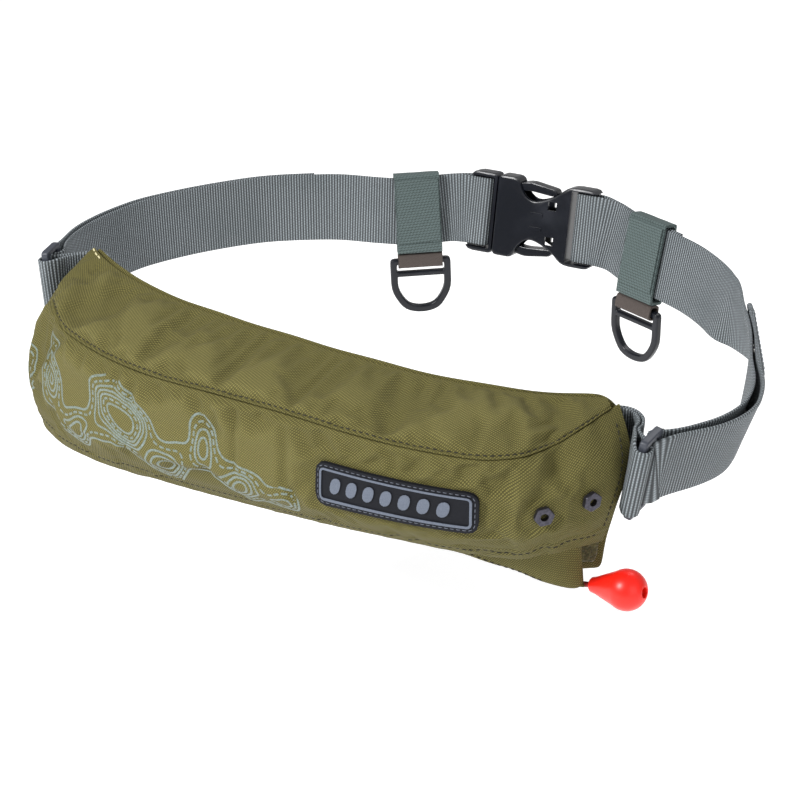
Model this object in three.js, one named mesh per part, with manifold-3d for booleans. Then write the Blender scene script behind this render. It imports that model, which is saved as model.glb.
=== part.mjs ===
// An inflatable belt pack: a crescent pouch of olive cloth round a folded air bladder, on a webbing belt
// with a side-release buckle, two hook-and-loop keepers with D-rings, and a red pull knob.
// Millimetres, +Z up. The origin is the middle of the waist opening at half the belt's height. The pouch is
// at the front (-Y), the buckle at the back (+Y), and the pull knob at the wearer's end on +X.
import * as THREE from "three";
import { mergeVertices } from "three/addons/utils/BufferGeometryUtils.js";
import Module from "manifold-3d";

const wasm = await Module();
wasm.setup();

// Webbing and its loop
const WEB_WIDTH = 38;
const WEB_THICK = 1.6;
const LOOP_HALF_WIDTH = 195;
const LOOP_HALF_DEPTH = 121;
const PLY_GAP = 0.5; // free space between two plies
const FOLD_GAP = 0.9; // free space between a bar and the ply round it
const HEM_LENGTH = 9; // folded tip of a free end
const HEM_THICK = 3.0;
const LEFT_TAIL = 180; // from the left ring's bar to the end of the outer ply
const RIGHT_TAIL = 163;
const PACK_STRAP_TAIL = 34;
const BAR_CLEAR = 3.5; // where a ply's straight run ends beside a bar
const BAR_EASE = 26; // length over which the belt line eases over to a buckle bar
const BELLY_REACH = 42; // how far from a ring its loose tail bellies out most

// Pouch
const PACK_HALF_LENGTH = 152.5;
const PACK_BACK_Y = -90; // the back edge at its two ends
const PACK_BOW = 32; // how far the middle of the back edge stands forward of its ends
const PACK_DEPTH = 46;
const PACK_HEIGHT = 88;
const PACK_TOP_Z = 26;
const CLOTH = 1.8;
const SEAM_GAP = 0.4;
const BLADDER_GAP = 2.0;

// Closure at the pouch's right end
const TAPE_WIDTH = 14;
const TAPE_THICK = 1.2;

// Badge and the two hexagonal fasteners
const BADGE_LENGTH = 80;
const BADGE_HEIGHT = 20;
const BADGE_THICK = 1.8;
const BADGE_CORNER = 5;
const BADGE_RELIEF = 0.7;
const HEX_FLATS = 8.6;
const HEX_HEIGHT = 2.6;
const HEX_BORE = 1.9;

// Pull knob and cord
const KNOB_LENGTH = 28.5;
const KNOB_RADIUS = 9.8;
const KNOB_NECK_RADIUS = 3.6;
const KNOB_BORE = 2.3;
const CORD_RADIUS = 1.3;

// Rectangular rings between the belt and the pouch
const RING_BAR = 4;
const RING_DEPTH = 16;
const RING_SIDE = 3.2;
const LEFT_RING_TURN = -4; // degrees that a ring turns from the belt line about its own bar
const RIGHT_RING_TURN = 30;
const RING_PLAY = 0.9; // between the webbing's edges and the ring's sides

// Buckle
const BUCKLE_LENGTH = 75;
const BUCKLE_HEIGHT = 45;
const BUCKLE_THICK = 12;
const BUCKLE_WALL = 1.8;
const BUCKLE_BAR = 10.5; // each webbing bar runs from the buckle's end to its slot
const BUCKLE_SLOT = 4.2;
const BUCKLE_BAR_THICK = 3;
const BUCKLE_RAIL = 2.4;
const SOCKET_LENGTH = 58;
const BUCKLE_FIT = 0.35;

// Keepers and D-rings
const KEEPER_WIDTH = 25;
const KEEPER_WALL = 1.5;
const KEEPER_CLEAR = 1.6;
const LEFT_KEEPER_FROM_BAR = 31;
const RIGHT_KEEPER_FROM_BAR = 40;
const KEEPER_DROP = 4.2; // how far a keeper hangs below the belt's lower edge
const D_WIDTH = 34;
const D_HEIGHT = 32.8;
const D_THICK = 4;
const D_RIM = 3.7;
const D_BAR = 3.0;
const D_SLOT = 4.6;
const D_DROP = 9.2; // from the belt's lower edge down to the top bar's axis
const D_TAB_THICK = 1.2;
const D_TAB_WIDTH = 24.8;

const UP = new THREE.Vector3(0, 0, 1);
const vec = (x, y, z = 0) => new THREE.Vector3(x, y, z);
const mix = (a, b, share) => a + (b - a) * share;
const smooth = (t) => t * t * (3 - 2 * t);
const clamp01 = (t) => Math.min(1, Math.max(0, t));

// Belt line: the top edge of the belt seen from above, as shares of the loop's half width and half depth,
// with the angle in degrees by which the belt's top leans outwards.
const LEFT_LINE = [
  { across: -0.9, back: -0.772, lean: 4 },
  { across: -0.915, back: -0.71, lean: 4 },
  { across: -0.946, back: -0.545, lean: 4 },
  { across: -0.954, back: -0.397, lean: 4 },
  { across: -0.949, back: -0.264, lean: 4 },
  { across: -0.936, back: -0.14, lean: 4 },
  { across: -0.89, back: 0.05, lean: 4 },
  { across: -0.829, back: 0.231, lean: 4 },
  { across: -0.763, back: 0.388, lean: 5 },
  { across: -0.685, back: 0.51, lean: 6 },
  { across: -0.595, back: 0.62, lean: 7 },
  { across: -0.487, back: 0.694, lean: 8 },
  { across: -0.385, back: 0.777, lean: 9 },
  { across: -0.31, back: 0.842, lean: 10 },
  { across: -0.25, back: 0.888, lean: 11 },
];
const RIGHT_LINE = [
  { across: 0.118, back: 1.0, lean: 12 },
  { across: 0.203, back: 0.963, lean: 12 },
  { across: 0.274, back: 0.934, lean: 12 },
  { across: 0.346, back: 0.905, lean: 12 },
  { across: 0.418, back: 0.872, lean: 13 },
  { across: 0.49, back: 0.826, lean: 13 },
  { across: 0.564, back: 0.756, lean: 13 },
  { across: 0.633, back: 0.669, lean: 13 },
  { across: 0.687, back: 0.574, lean: 0 },
  { across: 0.751, back: 0.413, lean: -13 },
  { across: 0.838, back: 0.198, lean: -9 },
  { across: 0.915, back: -0.033, lean: 6 },
  { across: 0.982, back: -0.223, lean: 16 },
  { across: 1.01, back: -0.397, lean: 19 },
  { across: 1.0, back: -0.545, lean: 19 },
  { across: 0.965, back: -0.68, lean: 17 },
  { across: 0.918, back: -0.815, lean: 14 },
];

// A belt line as a curve through its rows at half the belt's height, which runs inside the leaning top edge.
function beltLine(rows) {
  const tops = rows.map((r) => vec(r.across * LOOP_HALF_WIDTH, r.back * LOOP_HALF_DEPTH));
  const top = new THREE.CatmullRomCurve3(tops, false, "centripetal");
  const outwardAt = (share) => {
    const along = top.getTangentAt(clamp01(share));
    return vec(-along.y, along.x).normalize();
  };
  const run = [0];
  for (let k = 1; k < tops.length; k++) run.push(run[k - 1] + tops[k].distanceTo(tops[k - 1]));
  const leans = rows.map(({ lean }, k) => ({ share: run[k] / run[run.length - 1], lean }));
  const leanAt = (share) => THREE.MathUtils.degToRad(column(leans, "lean", share));
  const length = top.getLength();
  // Where the belt is at a share of its length, pushed out by off, with its outward and width directions.
  const at = (share, off = 0) => {
    const outward = outwardAt(share);
    const lean = leanAt(share);
    const width = UP.clone().multiplyScalar(Math.cos(lean)).addScaledVector(outward, Math.sin(lean));
    const inwards = (Math.sin(lean) * WEB_WIDTH) / 2;
    const point = top.getPointAt(clamp01(share)).addScaledVector(outward, off - inwards);
    return { point, outward, width, along: vec(outward.y, -outward.x) };
  };
  return { at, length };
}

// A closed solid between an outer and an inner grid of points, both grid[i][j].
function sheetSolid(outer, inner) {
  const rows = outer.length;
  const columns = outer[0].length;
  const points = [];
  for (const grid of [outer, inner]) for (const row of grid) for (const p of row) points.push(p.x, p.y, p.z);
  const at = (side, i, j) => side * rows * columns + i * columns + j;
  const faces = [];
  const quad = (a, b, c, d) => faces.push(a, b, c, a, c, d);
  for (let i = 0; i + 1 < rows; i++)
    for (let j = 0; j + 1 < columns; j++) {
      quad(at(0, i, j), at(0, i + 1, j), at(0, i + 1, j + 1), at(0, i, j + 1));
      quad(at(1, i, j), at(1, i, j + 1), at(1, i + 1, j + 1), at(1, i + 1, j));
    }
  for (let i = 0; i + 1 < rows; i++) {
    quad(at(0, i, 0), at(1, i, 0), at(1, i + 1, 0), at(0, i + 1, 0));
    quad(at(0, i + 1, columns - 1), at(1, i + 1, columns - 1), at(1, i, columns - 1), at(0, i, columns - 1));
  }
  for (let j = 0; j + 1 < columns; j++) {
    quad(at(0, 0, j + 1), at(1, 0, j + 1), at(1, 0, j), at(0, 0, j));
    quad(at(0, rows - 1, j), at(1, rows - 1, j), at(1, rows - 1, j + 1), at(0, rows - 1, j + 1));
  }
  const positions = new THREE.Float32BufferAttribute(points, 3);
  return facingOut(new THREE.BufferGeometry().setAttribute("position", positions).setIndex(faces));
}

// The signed volume that a closed mesh encloses, which is negative when its faces point inwards.
function signedVolume(geometry) {
  const p = geometry.getAttribute("position");
  const index = geometry.index.array;
  const corner = (k) => vec(p.getX(index[k]), p.getY(index[k]), p.getZ(index[k]));
  let sum = 0;
  for (let k = 0; k < index.length; k += 3) sum += corner(k).dot(corner(k + 1).cross(corner(k + 2))) / 6;
  return sum;
}

function facingOut(geometry) {
  if (signedVolume(geometry) < 0) geometry.index.array.reverse();
  return geometry;
}

// manifold-3d solids from closed meshes, and back again.
function solid(geometry) {
  const bare = geometry.clone();
  bare.deleteAttribute("normal");
  bare.deleteAttribute("uv");
  const merged = mergeVertices(bare, 1e-4);
  return new wasm.Manifold(
    new wasm.Mesh({
      numProp: 3,
      vertProperties: new Float32Array(merged.attributes.position.array),
      triVerts: new Uint32Array(merged.index.array),
    }),
  );
}

function geometryOf(manifold) {
  const mesh = manifold.getMesh();
  const points = [];
  for (let k = 0; k < mesh.numVert; k++) {
    const start = k * mesh.numProp;
    points.push(mesh.vertProperties[start], mesh.vertProperties[start + 1], mesh.vertProperties[start + 2]);
  }
  return new THREE.BufferGeometry()
    .setAttribute("position", new THREE.Float32BufferAttribute(points, 3))
    .setIndex(Array.from(mesh.triVerts));
}

const joined = (...pieces) => pieces.reduce((sum, piece) => sum.add(piece));

// A closed outline with rounded corners through [x, y, radius] rows.
function roundedShape(corners, cuts = 3) {
  const count = corners.length;
  const points = [];
  corners.forEach(([x, y, radius], k) => {
    const here = new THREE.Vector2(x, y);
    const towards = (other) => {
      const away = new THREE.Vector2(other[0], other[1]).sub(here);
      const reach = Math.min(radius, away.length() * 0.48);
      return here.clone().addScaledVector(away.normalize(), reach);
    };
    const before = towards(corners[(k + count - 1) % count]);
    const after = towards(corners[(k + 1) % count]);
    if (radius > 0) points.push(...new THREE.QuadraticBezierCurve(before, here, after).getPoints(cuts));
    else points.push(here);
  });
  return new THREE.Shape(points);
}

const roundedBox = (x0, y0, x1, y1, radius) =>
  roundedShape([[x0, y0, radius], [x1, y0, radius], [x1, y1, radius], [x0, y1, radius]]);

// An outline extruded by thick and centred on z = 0, with its edges rounded by bevel.
function plate(shape, thick, bevel = 0) {
  const geometry = new THREE.ExtrudeGeometry(shape, {
    depth: thick - 2 * bevel,
    bevelEnabled: bevel > 0,
    bevelThickness: bevel,
    bevelSize: bevel,
    bevelOffset: -bevel,
    bevelSegments: 2,
  });
  return geometry.translate(0, 0, bevel - thick / 2);
}

const box = (x0, y0, z0, x1, y1, z1) =>
  new THREE.BoxGeometry(x1 - x0, y1 - y0, z1 - z0).translate((x0 + x1) / 2, (y0 + y1) / 2, (z0 + z1) / 2);

// Materials
const paint = (color, roughness, metalness = 0) =>
  new THREE.MeshStandardMaterial({ color, roughness, metalness });
const OLIVE = paint(0x76723f, 0.9);
const WEBBING = paint(0x6b7380, 0.85);
const KEEPER_TAPE = paint(0x4f6664, 0.95);
const RING_TAPE = paint(0x4b4544, 0.9);
const BLACK_PLASTIC = paint(0x24262b, 0.45);
const DARK_RUBBER = paint(0x1b1d24, 0.7);
const OLIVE_PILE = paint(0x3f3f20, 1.0);
const RED_PLASTIC = paint(0xe0251b, 0.35);
const BLADDER_CLOTH = paint(0x8c8f45, 0.8);
const CORD_FIBRE = paint(0x8e1c17, 0.9);

const root = new THREE.Group();
function addNode(name, geometry, material) {
  const mesh = new THREE.Mesh(geometry, material.clone());
  mesh.name = name;
  root.add(mesh);
}

// A flat strip of webbing along stations of { point, width, outward, thick }.
function ribbon(stations, wide = WEB_WIDTH) {
  const sides = [1, -1].map((side) =>
    stations.map((s, k) => {
      const before = stations[Math.max(0, k - 1)].point;
      const after = stations[Math.min(stations.length - 1, k + 1)].point;
      const normal = after.clone().sub(before).cross(s.width).normalize();
      const half = (s.thick ?? WEB_THICK) / 2;
      return [-1, 1].map((edge) =>
        s.point.clone().addScaledVector(s.width, (edge * wide) / 2).addScaledVector(normal, side * half));
    }));
  return sheetSolid(sides[0], sides[1]);
}

// The half turn of a ply round a bar: from the bar's inner side, past its far side, to its outer side.
function foldRound(bar, radius, steps = 8) {
  return Array.from({ length: steps + 1 }, (_, k) => {
    const angle = (Math.PI * k) / steps;
    const point = bar.point.clone()
      .addScaledVector(bar.outward, -radius * Math.cos(angle))
      .addScaledVector(bar.far, radius * Math.sin(angle));
    return { point, width: bar.width, outward: bar.outward };
  });
}

const PLY_STEP = WEB_THICK + PLY_GAP; // from the middle of one ply to the middle of the next
const FOLD_RADIUS = RING_BAR / 2 + FOLD_GAP + WEB_THICK / 2;
const TAPER = 15; // length over which two plies close up after a bar
const BUCKLE_FLAT = 8.5; // length beside a buckle's wide bar where they stay apart
const BUCKLE_TAPER = 10;

// A belt line that leaves a buckle's bar straight and eases over to its own way.
function meetingBar(line, barShare, bar) {
  const at = (share, off) => {
    const distance = Math.abs(share - barShare) * line.length;
    const free = smooth(clamp01((distance - BUCKLE_FLAT) / BAR_EASE));
    const station = line.at(share, off);
    const straight = bar.point.clone().addScaledVector(bar.far, -distance)
      .addScaledVector(bar.outward, off - PLY_STEP / 2);
    return {
      point: straight.lerp(station.point, free),
      outward: bar.outward.clone().lerp(station.outward, free).normalize(),
      width: bar.width.clone().lerp(station.width, free).normalize(),
      along: station.along,
    };
  };
  return { at, length: line.length };
}
// Buckle, in its own frame: X from the left strap to the right one, Y outwards, Z up.
const BUCKLE_CENTRE = vec(-14, 115, 2);
const BUCKLE_TURN = THREE.MathUtils.degToRad(9);
const BUCKLE_LEAN = THREE.MathUtils.degToRad(12);
const buckleFrame = new THREE.Matrix4().makeRotationZ(BUCKLE_TURN)
  .multiply(new THREE.Matrix4().makeRotationX(-BUCKLE_LEAN)).setPosition(BUCKLE_CENTRE);
const buckleAxis = (x, y, z) => vec(x, y, z).transformDirection(buckleFrame);
const BAR_X = BUCKLE_LENGTH / 2 - BUCKLE_BAR + 1.8; // where the webbing turns, near the bar's slot side
function buckleBar(side) {
  return {
    point: vec(side * BAR_X, 0, 0).applyMatrix4(buckleFrame),
    outward: buckleAxis(0, 1, 0),
    width: buckleAxis(0, 0, 1),
    far: buckleAxis(-side, 0, 0),
  };
}
const leftLine = meetingBar(beltLine(LEFT_LINE), 1, buckleBar(-1));
const rightLine = meetingBar(beltLine(RIGHT_LINE), 0, buckleBar(1));

// A bar that a ply folds round at one end of a belt line; far points away from the belt.
function barAt(line, share) {
  const here = line.at(share, PLY_STEP / 2);
  const far = here.along.clone().multiplyScalar(share > 0.5 ? 1 : -1);
  const outward = here.width.clone().cross(here.along).normalize();
  return { point: here.point, outward, width: here.width, far };
}

// Pouch: sections across it at shares of its half length, right end positive. Heights are shares of the
// pouch height down from its top edge, and depths are shares of its depth forward of the back edge.
const SECTIONS = [
  { share: -1.0, seamDown: 0.03, seam: 0.03, upper: 0.07, lower: 0.16, hemDown: 0.9, hem: 0.28 },
  { share: -0.99, seamDown: 0.08, seam: 0.15, upper: 0.3, lower: 0.42, hemDown: 0.94, hem: 0.45 },
  { share: -0.97, seamDown: 0.11, seam: 0.3, upper: 0.5, lower: 0.66, hemDown: 0.97, hem: 0.64 },
  { share: -0.94, seamDown: 0.13, seam: 0.45, upper: 0.72, lower: 0.87, hemDown: 0.985, hem: 0.76 },
  { share: -0.88, seamDown: 0.135, seam: 0.64, upper: 0.92, lower: 1.01, hemDown: 0.99, hem: 0.85 },
  { share: -0.8, seamDown: 0.13, seam: 0.83, upper: 0.99, lower: 1.03, hemDown: 0.995, hem: 0.84 },
  { share: -0.68, seamDown: 0.16, seam: 0.97, upper: 1.04, lower: 1.05, hemDown: 0.99, hem: 0.77 },
  { share: -0.4, seamDown: 0.17, seam: 1.03, upper: 1.07, lower: 1.05, hemDown: 0.945, hem: 0.65 },
  { share: -0.1, seamDown: 0.143, seam: 1.04, upper: 1.07, lower: 1.05, hemDown: 0.905, hem: 0.62 },
  { share: 0.2, seamDown: 0.127, seam: 1.04, upper: 1.07, lower: 1.04, hemDown: 0.86, hem: 0.62 },
  { share: 0.5, seamDown: 0.143, seam: 1.02, upper: 1.06, lower: 1.03, hemDown: 0.815, hem: 0.63 },
  { share: 0.7, seamDown: 0.145, seam: 1.0, upper: 1.04, lower: 1.0, hemDown: 0.805, hem: 0.64 },
  { share: 0.79, seamDown: 0.14, seam: 0.89, upper: 0.99, lower: 0.96, hemDown: 0.795, hem: 0.65 },
  { share: 0.86, seamDown: 0.125, seam: 0.63, upper: 0.86, lower: 0.87, hemDown: 0.75, hem: 0.65 },
  { share: 0.92, seamDown: 0.068, seam: 0.43, upper: 0.68, lower: 0.73, hemDown: 0.735, hem: 0.56 },
  { share: 0.965, seamDown: 0.04, seam: 0.21, upper: 0.5, lower: 0.58, hemDown: 0.74, hem: 0.49 },
  { share: 1.0, seamDown: 0.018, seam: 0.06, upper: 0.26, lower: 0.43, hemDown: 0.75, hem: 0.42 },
];

// How far a section's upper and lower parts stand out along X, as shares of the half length.
const END_SIDES = [
  { share: 0.79, up: 0, low: 0 },
  { share: 0.86, up: 0.005, low: 0 },
  { share: 0.92, up: 0.02, low: -0.005 },
  { share: 0.965, up: 0.03, low: -0.02 },
  { share: 1.0, up: 0.035, low: -0.035 },
];

// The closure flap's lower edge, and how far its tucked floor reaches back.
const FLAP_ROWS = [
  { share: -0.945, down: 1.03, front: 0.62, back: 0.42 },
  { share: -0.88, down: 1.06, front: 0.76, back: 0.4 },
  { share: -0.8, down: 1.06, front: 0.76, back: 0.38 },
  { share: -0.68, down: 1.055, front: 0.69, back: 0.36 },
  { share: -0.4, down: 0.993, front: 0.585, back: 0.34 },
  { share: 0.0, down: 0.94, front: 0.555, back: 0.32 },
  { share: 0.4, down: 0.87, front: 0.555, back: 0.3 },
  { share: 0.6, down: 0.864, front: 0.575, back: 0.31 },
  { share: 0.7, down: 0.884, front: 0.585, back: 0.34 },
  { share: 0.85, down: 0.965, front: 0.58, back: 0.44 },
  { share: 0.925, down: 1.01, front: 0.52, back: 0.47 },
  { share: 0.95, down: 0.993, front: 0.47, back: 0.46 },
];
const BACK_SLOPE = 0.24; // how far the back panel's foot stands forward, as a share of the pouch depth
const BACK_FOOT = 0.02; // how far the back panel ends above the flap's lower edge
const END_BULGE = 0.035; // how far the back panel's right end stands out at mid height, and in at its foot
const END_TUCK = 0.03;
const BACK_PROUD = 0.018; // how far the back panel stands past the top panel's ends
const CORNER_SHARE = 0.055; // length of its rounded upper corners

// A column of a table at a share along the pouch, through its rows without overshoot.
function column(rows, name, share) {
  const last = rows.length - 1;
  if (share <= rows[0].share) return rows[0][name];
  if (share >= rows[last].share) return rows[last][name];
  const k = rows.findIndex((row) => row.share > share) - 1;
  const rise = (i) => (rows[i + 1][name] - rows[i][name]) / (rows[i + 1].share - rows[i].share);
  const slope = (i) => {
    if (i === 0) return rise(0);
    if (i === last) return rise(last - 1);
    const [before, after] = [rise(i - 1), rise(i)];
    return before * after <= 0 ? 0 : (2 * before * after) / (before + after);
  };
  const span = rows[k + 1].share - rows[k].share;
  const t = (share - rows[k].share) / span;
  const [t2, t3] = [t * t, t * t * t];
  return (2 * t3 - 3 * t2 + 1) * rows[k][name] + (t3 - 2 * t2 + t) * span * slope(k)
    + (3 * t2 - 2 * t3) * rows[k + 1][name] + (t3 - t2) * span * slope(k + 1);
}

const BOW_POWER = 3.2;
const depthAtBack = (down) => PACK_DEPTH * BACK_SLOPE * Math.max(0, down) ** 1.3;

// A point of the pouch from its share along, its share down and its depth square to the back edge.
function pouchPoint(share, down, depth, side = 0) {
  const slope = BOW_POWER * PACK_BOW * Math.sign(share) * Math.abs(share) ** (BOW_POWER - 1);
  const forward = vec(slope, -PACK_HALF_LENGTH).normalize();
  const edgeY = PACK_BACK_Y - PACK_BOW * (1 - Math.abs(share) ** BOW_POWER);
  return vec(PACK_HALF_LENGTH * (share + side), edgeY, PACK_TOP_Z - PACK_HEIGHT * down)
    .addScaledVector(forward, depth);
}

// The section's outer line: top edge, crown, seam, upper front, lower front, hem, as one smooth curve.
function sectionCurve(share) {
  const get = (name) => column(SECTIONS, name, share);
  const [seamDown, seam, hemDown] = [get("seamDown"), get("seam"), get("hemDown")];
  const d = PACK_DEPTH;
  const [sideUp, sideLow] = [column(END_SIDES, "up", share), column(END_SIDES, "low", share)];
  return new THREE.CatmullRomCurve3([
    pouchPoint(share, 0, SEAM_GAP + 0.9),
    pouchPoint(share, seamDown * 0.28, mix(SEAM_GAP + 0.8, Math.max(seam * d, 1.6), 0.5), sideUp * 0.1),
    pouchPoint(share, seamDown, seam * d, sideUp * 0.3),
    pouchPoint(share, mix(seamDown, hemDown, 0.3), get("upper") * d, sideUp),
    pouchPoint(share, mix(seamDown, hemDown, 0.68), get("lower") * d, (sideUp + sideLow) / 2),
    pouchPoint(share, hemDown, get("hem") * d, sideLow),
  ], false, "catmullrom", 0.5);
}
const SEAM_AT = 2 / 5; // the seam's place on the section curve

// Folds of the cloth: ridges and hollows across the front panel, each along a line from one point to
// another in shares of the pouch's half length and of the section curve.
const FOLDS = [
  { from: [0.78, 0.46], to: [0.7, 0.7], high: -1.3, wide: 0.03 },
  { from: [0.88, 0.46], to: [0.8, 0.74], high: -1.1, wide: 0.03 },
  { from: [0.6, 0.46], to: [0.5, 0.62], high: -0.9, wide: 0.03 },
  { from: [-0.16, 0.43], to: [-0.06, 0.62], high: -0.9, wide: 0.035 },
  { from: [-0.42, 0.7], to: [-0.3, 0.97], high: -0.8, wide: 0.03 },
  { from: [-0.7, 0.42], to: [-0.82, 0.6], high: -0.9, wide: 0.035 },
  { from: [-0.9, 0.06], to: [-0.68, 0.3], high: -0.9, wide: 0.04 },
  { from: [-0.74, 0.05], to: [-0.5, 0.3], high: -0.7, wide: 0.04 },
  { from: [-0.4, 0.06], to: [-0.2, 0.32], high: -0.5, wide: 0.04 },
];
function foldHeight(share, t) {
  let sum = 0;
  for (const { from, to, high, wide } of FOLDS) {
    const [dx, dt] = [to[0] - from[0], (to[1] - from[1]) * 0.6];
    const [px, pt] = [share - from[0], (t - from[1]) * 0.6];
    const along = (px * dx + pt * dt) / (dx * dx + dt * dt);
    const off = (px * dt - pt * dx) / Math.hypot(dx, dt);
    sum += high * Math.exp(-((off / wide) ** 2)) * Math.exp(-(((along - 0.5) / 0.45) ** 4));
  }
  return sum;
}

const curves = new Map();
function shellPoint(share, t) {
  const key = share.toFixed(5);
  if (!curves.has(key)) curves.set(key, sectionCurve(share));
  return curves.get(key).getPoint(clamp01(t));
}
function shellNormal(share, t) {
  const step = 0.004;
  const [left, right] = [Math.max(-1, share - step), Math.min(1, share + step)];
  const [above, below] = [Math.max(0, t - step), Math.min(1, t + step)];
  const along = shellPoint(right, t).sub(shellPoint(left, t));
  const down = shellPoint(share, below).sub(shellPoint(share, above));
  return down.cross(along).normalize();
}
// The shell at an offset outwards, with its folds.
function shell(share, t, off = 0) {
  const normal = shellNormal(share, t);
  const ease = smooth(clamp01(Math.min(t, 1 - t, Math.abs(t - SEAM_AT)) / 0.06));
  const fold = foldHeight(share, t) * ease * smooth(clamp01((1 - Math.abs(share)) / 0.06));
  return shellPoint(share, t).addScaledVector(normal, off + fold);
}

const steps = (from, to, count) => Array.from({ length: count + 1 }, (_, k) => mix(from, to, k / count));
// Shares along the pouch, closer together at its blunt ends.
const lengthwise = (from, to, count) =>
  steps(-1, 1, count).map((s) => mix(from, to, (Math.sin((s * Math.PI) / 2) * 0.45 + s * 0.55 + 1) / 2));

function shellSheet(shares, places, outerOff, thick) {
  const grid = (off) => shares.map((s) => places(s).map((t) => shell(s, t, off)));
  return sheetSolid(grid(outerOff), grid(outerOff - thick));
}

const seamShare = SEAM_GAP / 60; // the seam's gap on the section curve, whose halves measure about 60 mm
const topPanel = shellSheet(
  lengthwise(-0.982, 0.982, 44), () => steps(0, SEAM_AT - seamShare, 9), 0, CLOTH);
addNode("top_panel", topPanel, OLIVE);
const frontPanel = shellSheet(
  lengthwise(-1, 1, 60), () => steps(SEAM_AT + seamShare, 1, 16), 0, CLOTH);
addNode("front_panel", frontPanel, OLIVE);

// The back panel hangs behind the top edge and its foot stands forward.
function backFace(share, down, off = 0) {
  const nearEnd = smooth(clamp01((share - 0.8) / 0.2));
  const low = Math.max(0, down);
  const bulge = END_BULGE * Math.sin(Math.PI * Math.min(1, low * 1.25)) - END_TUCK * low ** 3;
  return pouchPoint(share, down, depthAtBack(down) + off, bulge * nearEnd);
}
{
  const shares = lengthwise(-1 - BACK_PROUD, 1 + BACK_PROUD, 34);
  const foot = (share) => column(FLAP_ROWS, "down", share) - BACK_FOOT;
  // Its upper corners stand past the ends of the top panel and are rounded.
  const top = (share) => {
    const into = clamp01((1 + BACK_PROUD - Math.abs(share)) / CORNER_SHARE);
    return -0.012 + (1 - Math.sqrt(1 - (1 - into) ** 2)) * 0.1;
  };
  const proud = (share, down) => {
    const past = Math.max(0, Math.abs(share) - 1) * mix(1, 0.15, smooth(clamp01(down / 0.35)));
    return Math.sign(share) * (Math.min(1, Math.abs(share)) + past);
  };
  const grid = (off) => shares.map((s) =>
    steps(top(s), foot(s), 9).map((down) => backFace(proud(s, down), down, off)));
  addNode("back_panel", sheetSolid(grid(-CLOTH), grid(0)), OLIVE);
}

// The closure flap lies inside the front panel and tucks under as the pouch's floor.
const FLAP_TOP = 0.8; // where it starts on the section curve
const FLAP_IN = 0.05; // how far its edge stays inside the hem, as a share of the pouch depth
{
  const shares = lengthwise(-0.945, 0.95, 40);
  const line = (share) => {
    const inside = steps(FLAP_TOP, 1, 5).map((t) => shell(share, t, -CLOTH - SEAM_GAP - 0.4));
    const [down, front, back] = ["down", "front", "back"].map((name) => column(FLAP_ROWS, name, share));
    const side = column(END_SIDES, "low", share) * 0.7;
    return new THREE.CatmullRomCurve3([
      ...inside,
      pouchPoint(share, down - 0.012, (front - FLAP_IN) * PACK_DEPTH, side),
      pouchPoint(share, down + 0.004, (mix(front, back, 0.3) - FLAP_IN) * PACK_DEPTH, side),
      pouchPoint(share, down + 0.006, (back - FLAP_IN / 2) * PACK_DEPTH, side),
    ], false, "centripetal");
  };
  const lines = shares.map((s) => line(s).getPoints(14));
  const normals = lines.map((points, i) => points.map((p, j) => {
    const along = lines[Math.min(lines.length - 1, i + 1)][j].clone().sub(lines[Math.max(0, i - 1)][j]);
    const down = points[Math.min(points.length - 1, j + 1)].clone().sub(points[Math.max(0, j - 1)]);
    return down.cross(along).normalize();
  }));
  const inner = lines.map((points, i) =>
    points.map((p, j) => p.clone().addScaledVector(normals[i][j], -CLOTH)));
  addNode("closure_flap", sheetSolid(lines, inner), OLIVE);
}

// Pile strips of the closure, on both faces of the back panel's right end.
function endTape(off, from, to, top, foot) {
  const shares = steps(from, to, 5);
  const grid = (extra) => shares.map((s) =>
    steps(top, foot, 10).map((down) => backFace(s, down, off + extra)));
  return sheetSolid(grid(TAPE_THICK), grid(0));
}
const tapeShare = TAPE_WIDTH / PACK_HALF_LENGTH;
const tapeGap = SEAM_GAP + 0.2;
addNode("closure_tape_front", endTape(tapeGap, 0.985 - tapeShare, 0.985, 0.2, 0.925), OLIVE_PILE);
const rearTape = endTape(-CLOTH - tapeGap - TAPE_THICK, 0.998 - tapeShare, 0.998, 0.2, 0.94);
addNode("closure_tape_back", rearTape, OLIVE_PILE);

// The folded bladder fills the pouch between the shell and the back panel.
{
  const shares = lengthwise(-0.93, 0.88, 20);
  const places = steps(0.03, 0.93, 10);
  const inset = CLOTH + SEAM_GAP + CLOTH + BLADDER_GAP;
  const outer = shares.map((s) => places.map((t) => shell(s, t, -inset)));
  const inner = outer.map((row, i) => row.map((p, j) => {
    const down = (PACK_TOP_Z - p.z) / PACK_HEIGHT;
    return backFace(shares[i], down, SEAM_GAP + 0.5);
  }));
  addNode("folded_bladder", sheetSolid(outer, inner), BLADDER_CLOTH);
}

// A place on the front panel: a millimetres along from a share, b millimetres down from a place on the
// section curve, c millimetres off the cloth.
const BADGE_FROM = 0.29;
const BADGE_AT = 0.575;
const BADGE_STRETCH = 1.23; // millimetres along the front for each one along the back edge
const FRONT_LENGTH = 108; // what one whole section curve would measure at the front panel's rate
function onShell(a, b, c) {
  const share = BADGE_FROM + a / PACK_HALF_LENGTH / BADGE_STRETCH;
  const t = BADGE_AT + b / FRONT_LENGTH;
  return shellPoint(share, t).addScaledVector(shellNormal(share, t), c);
}
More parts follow.
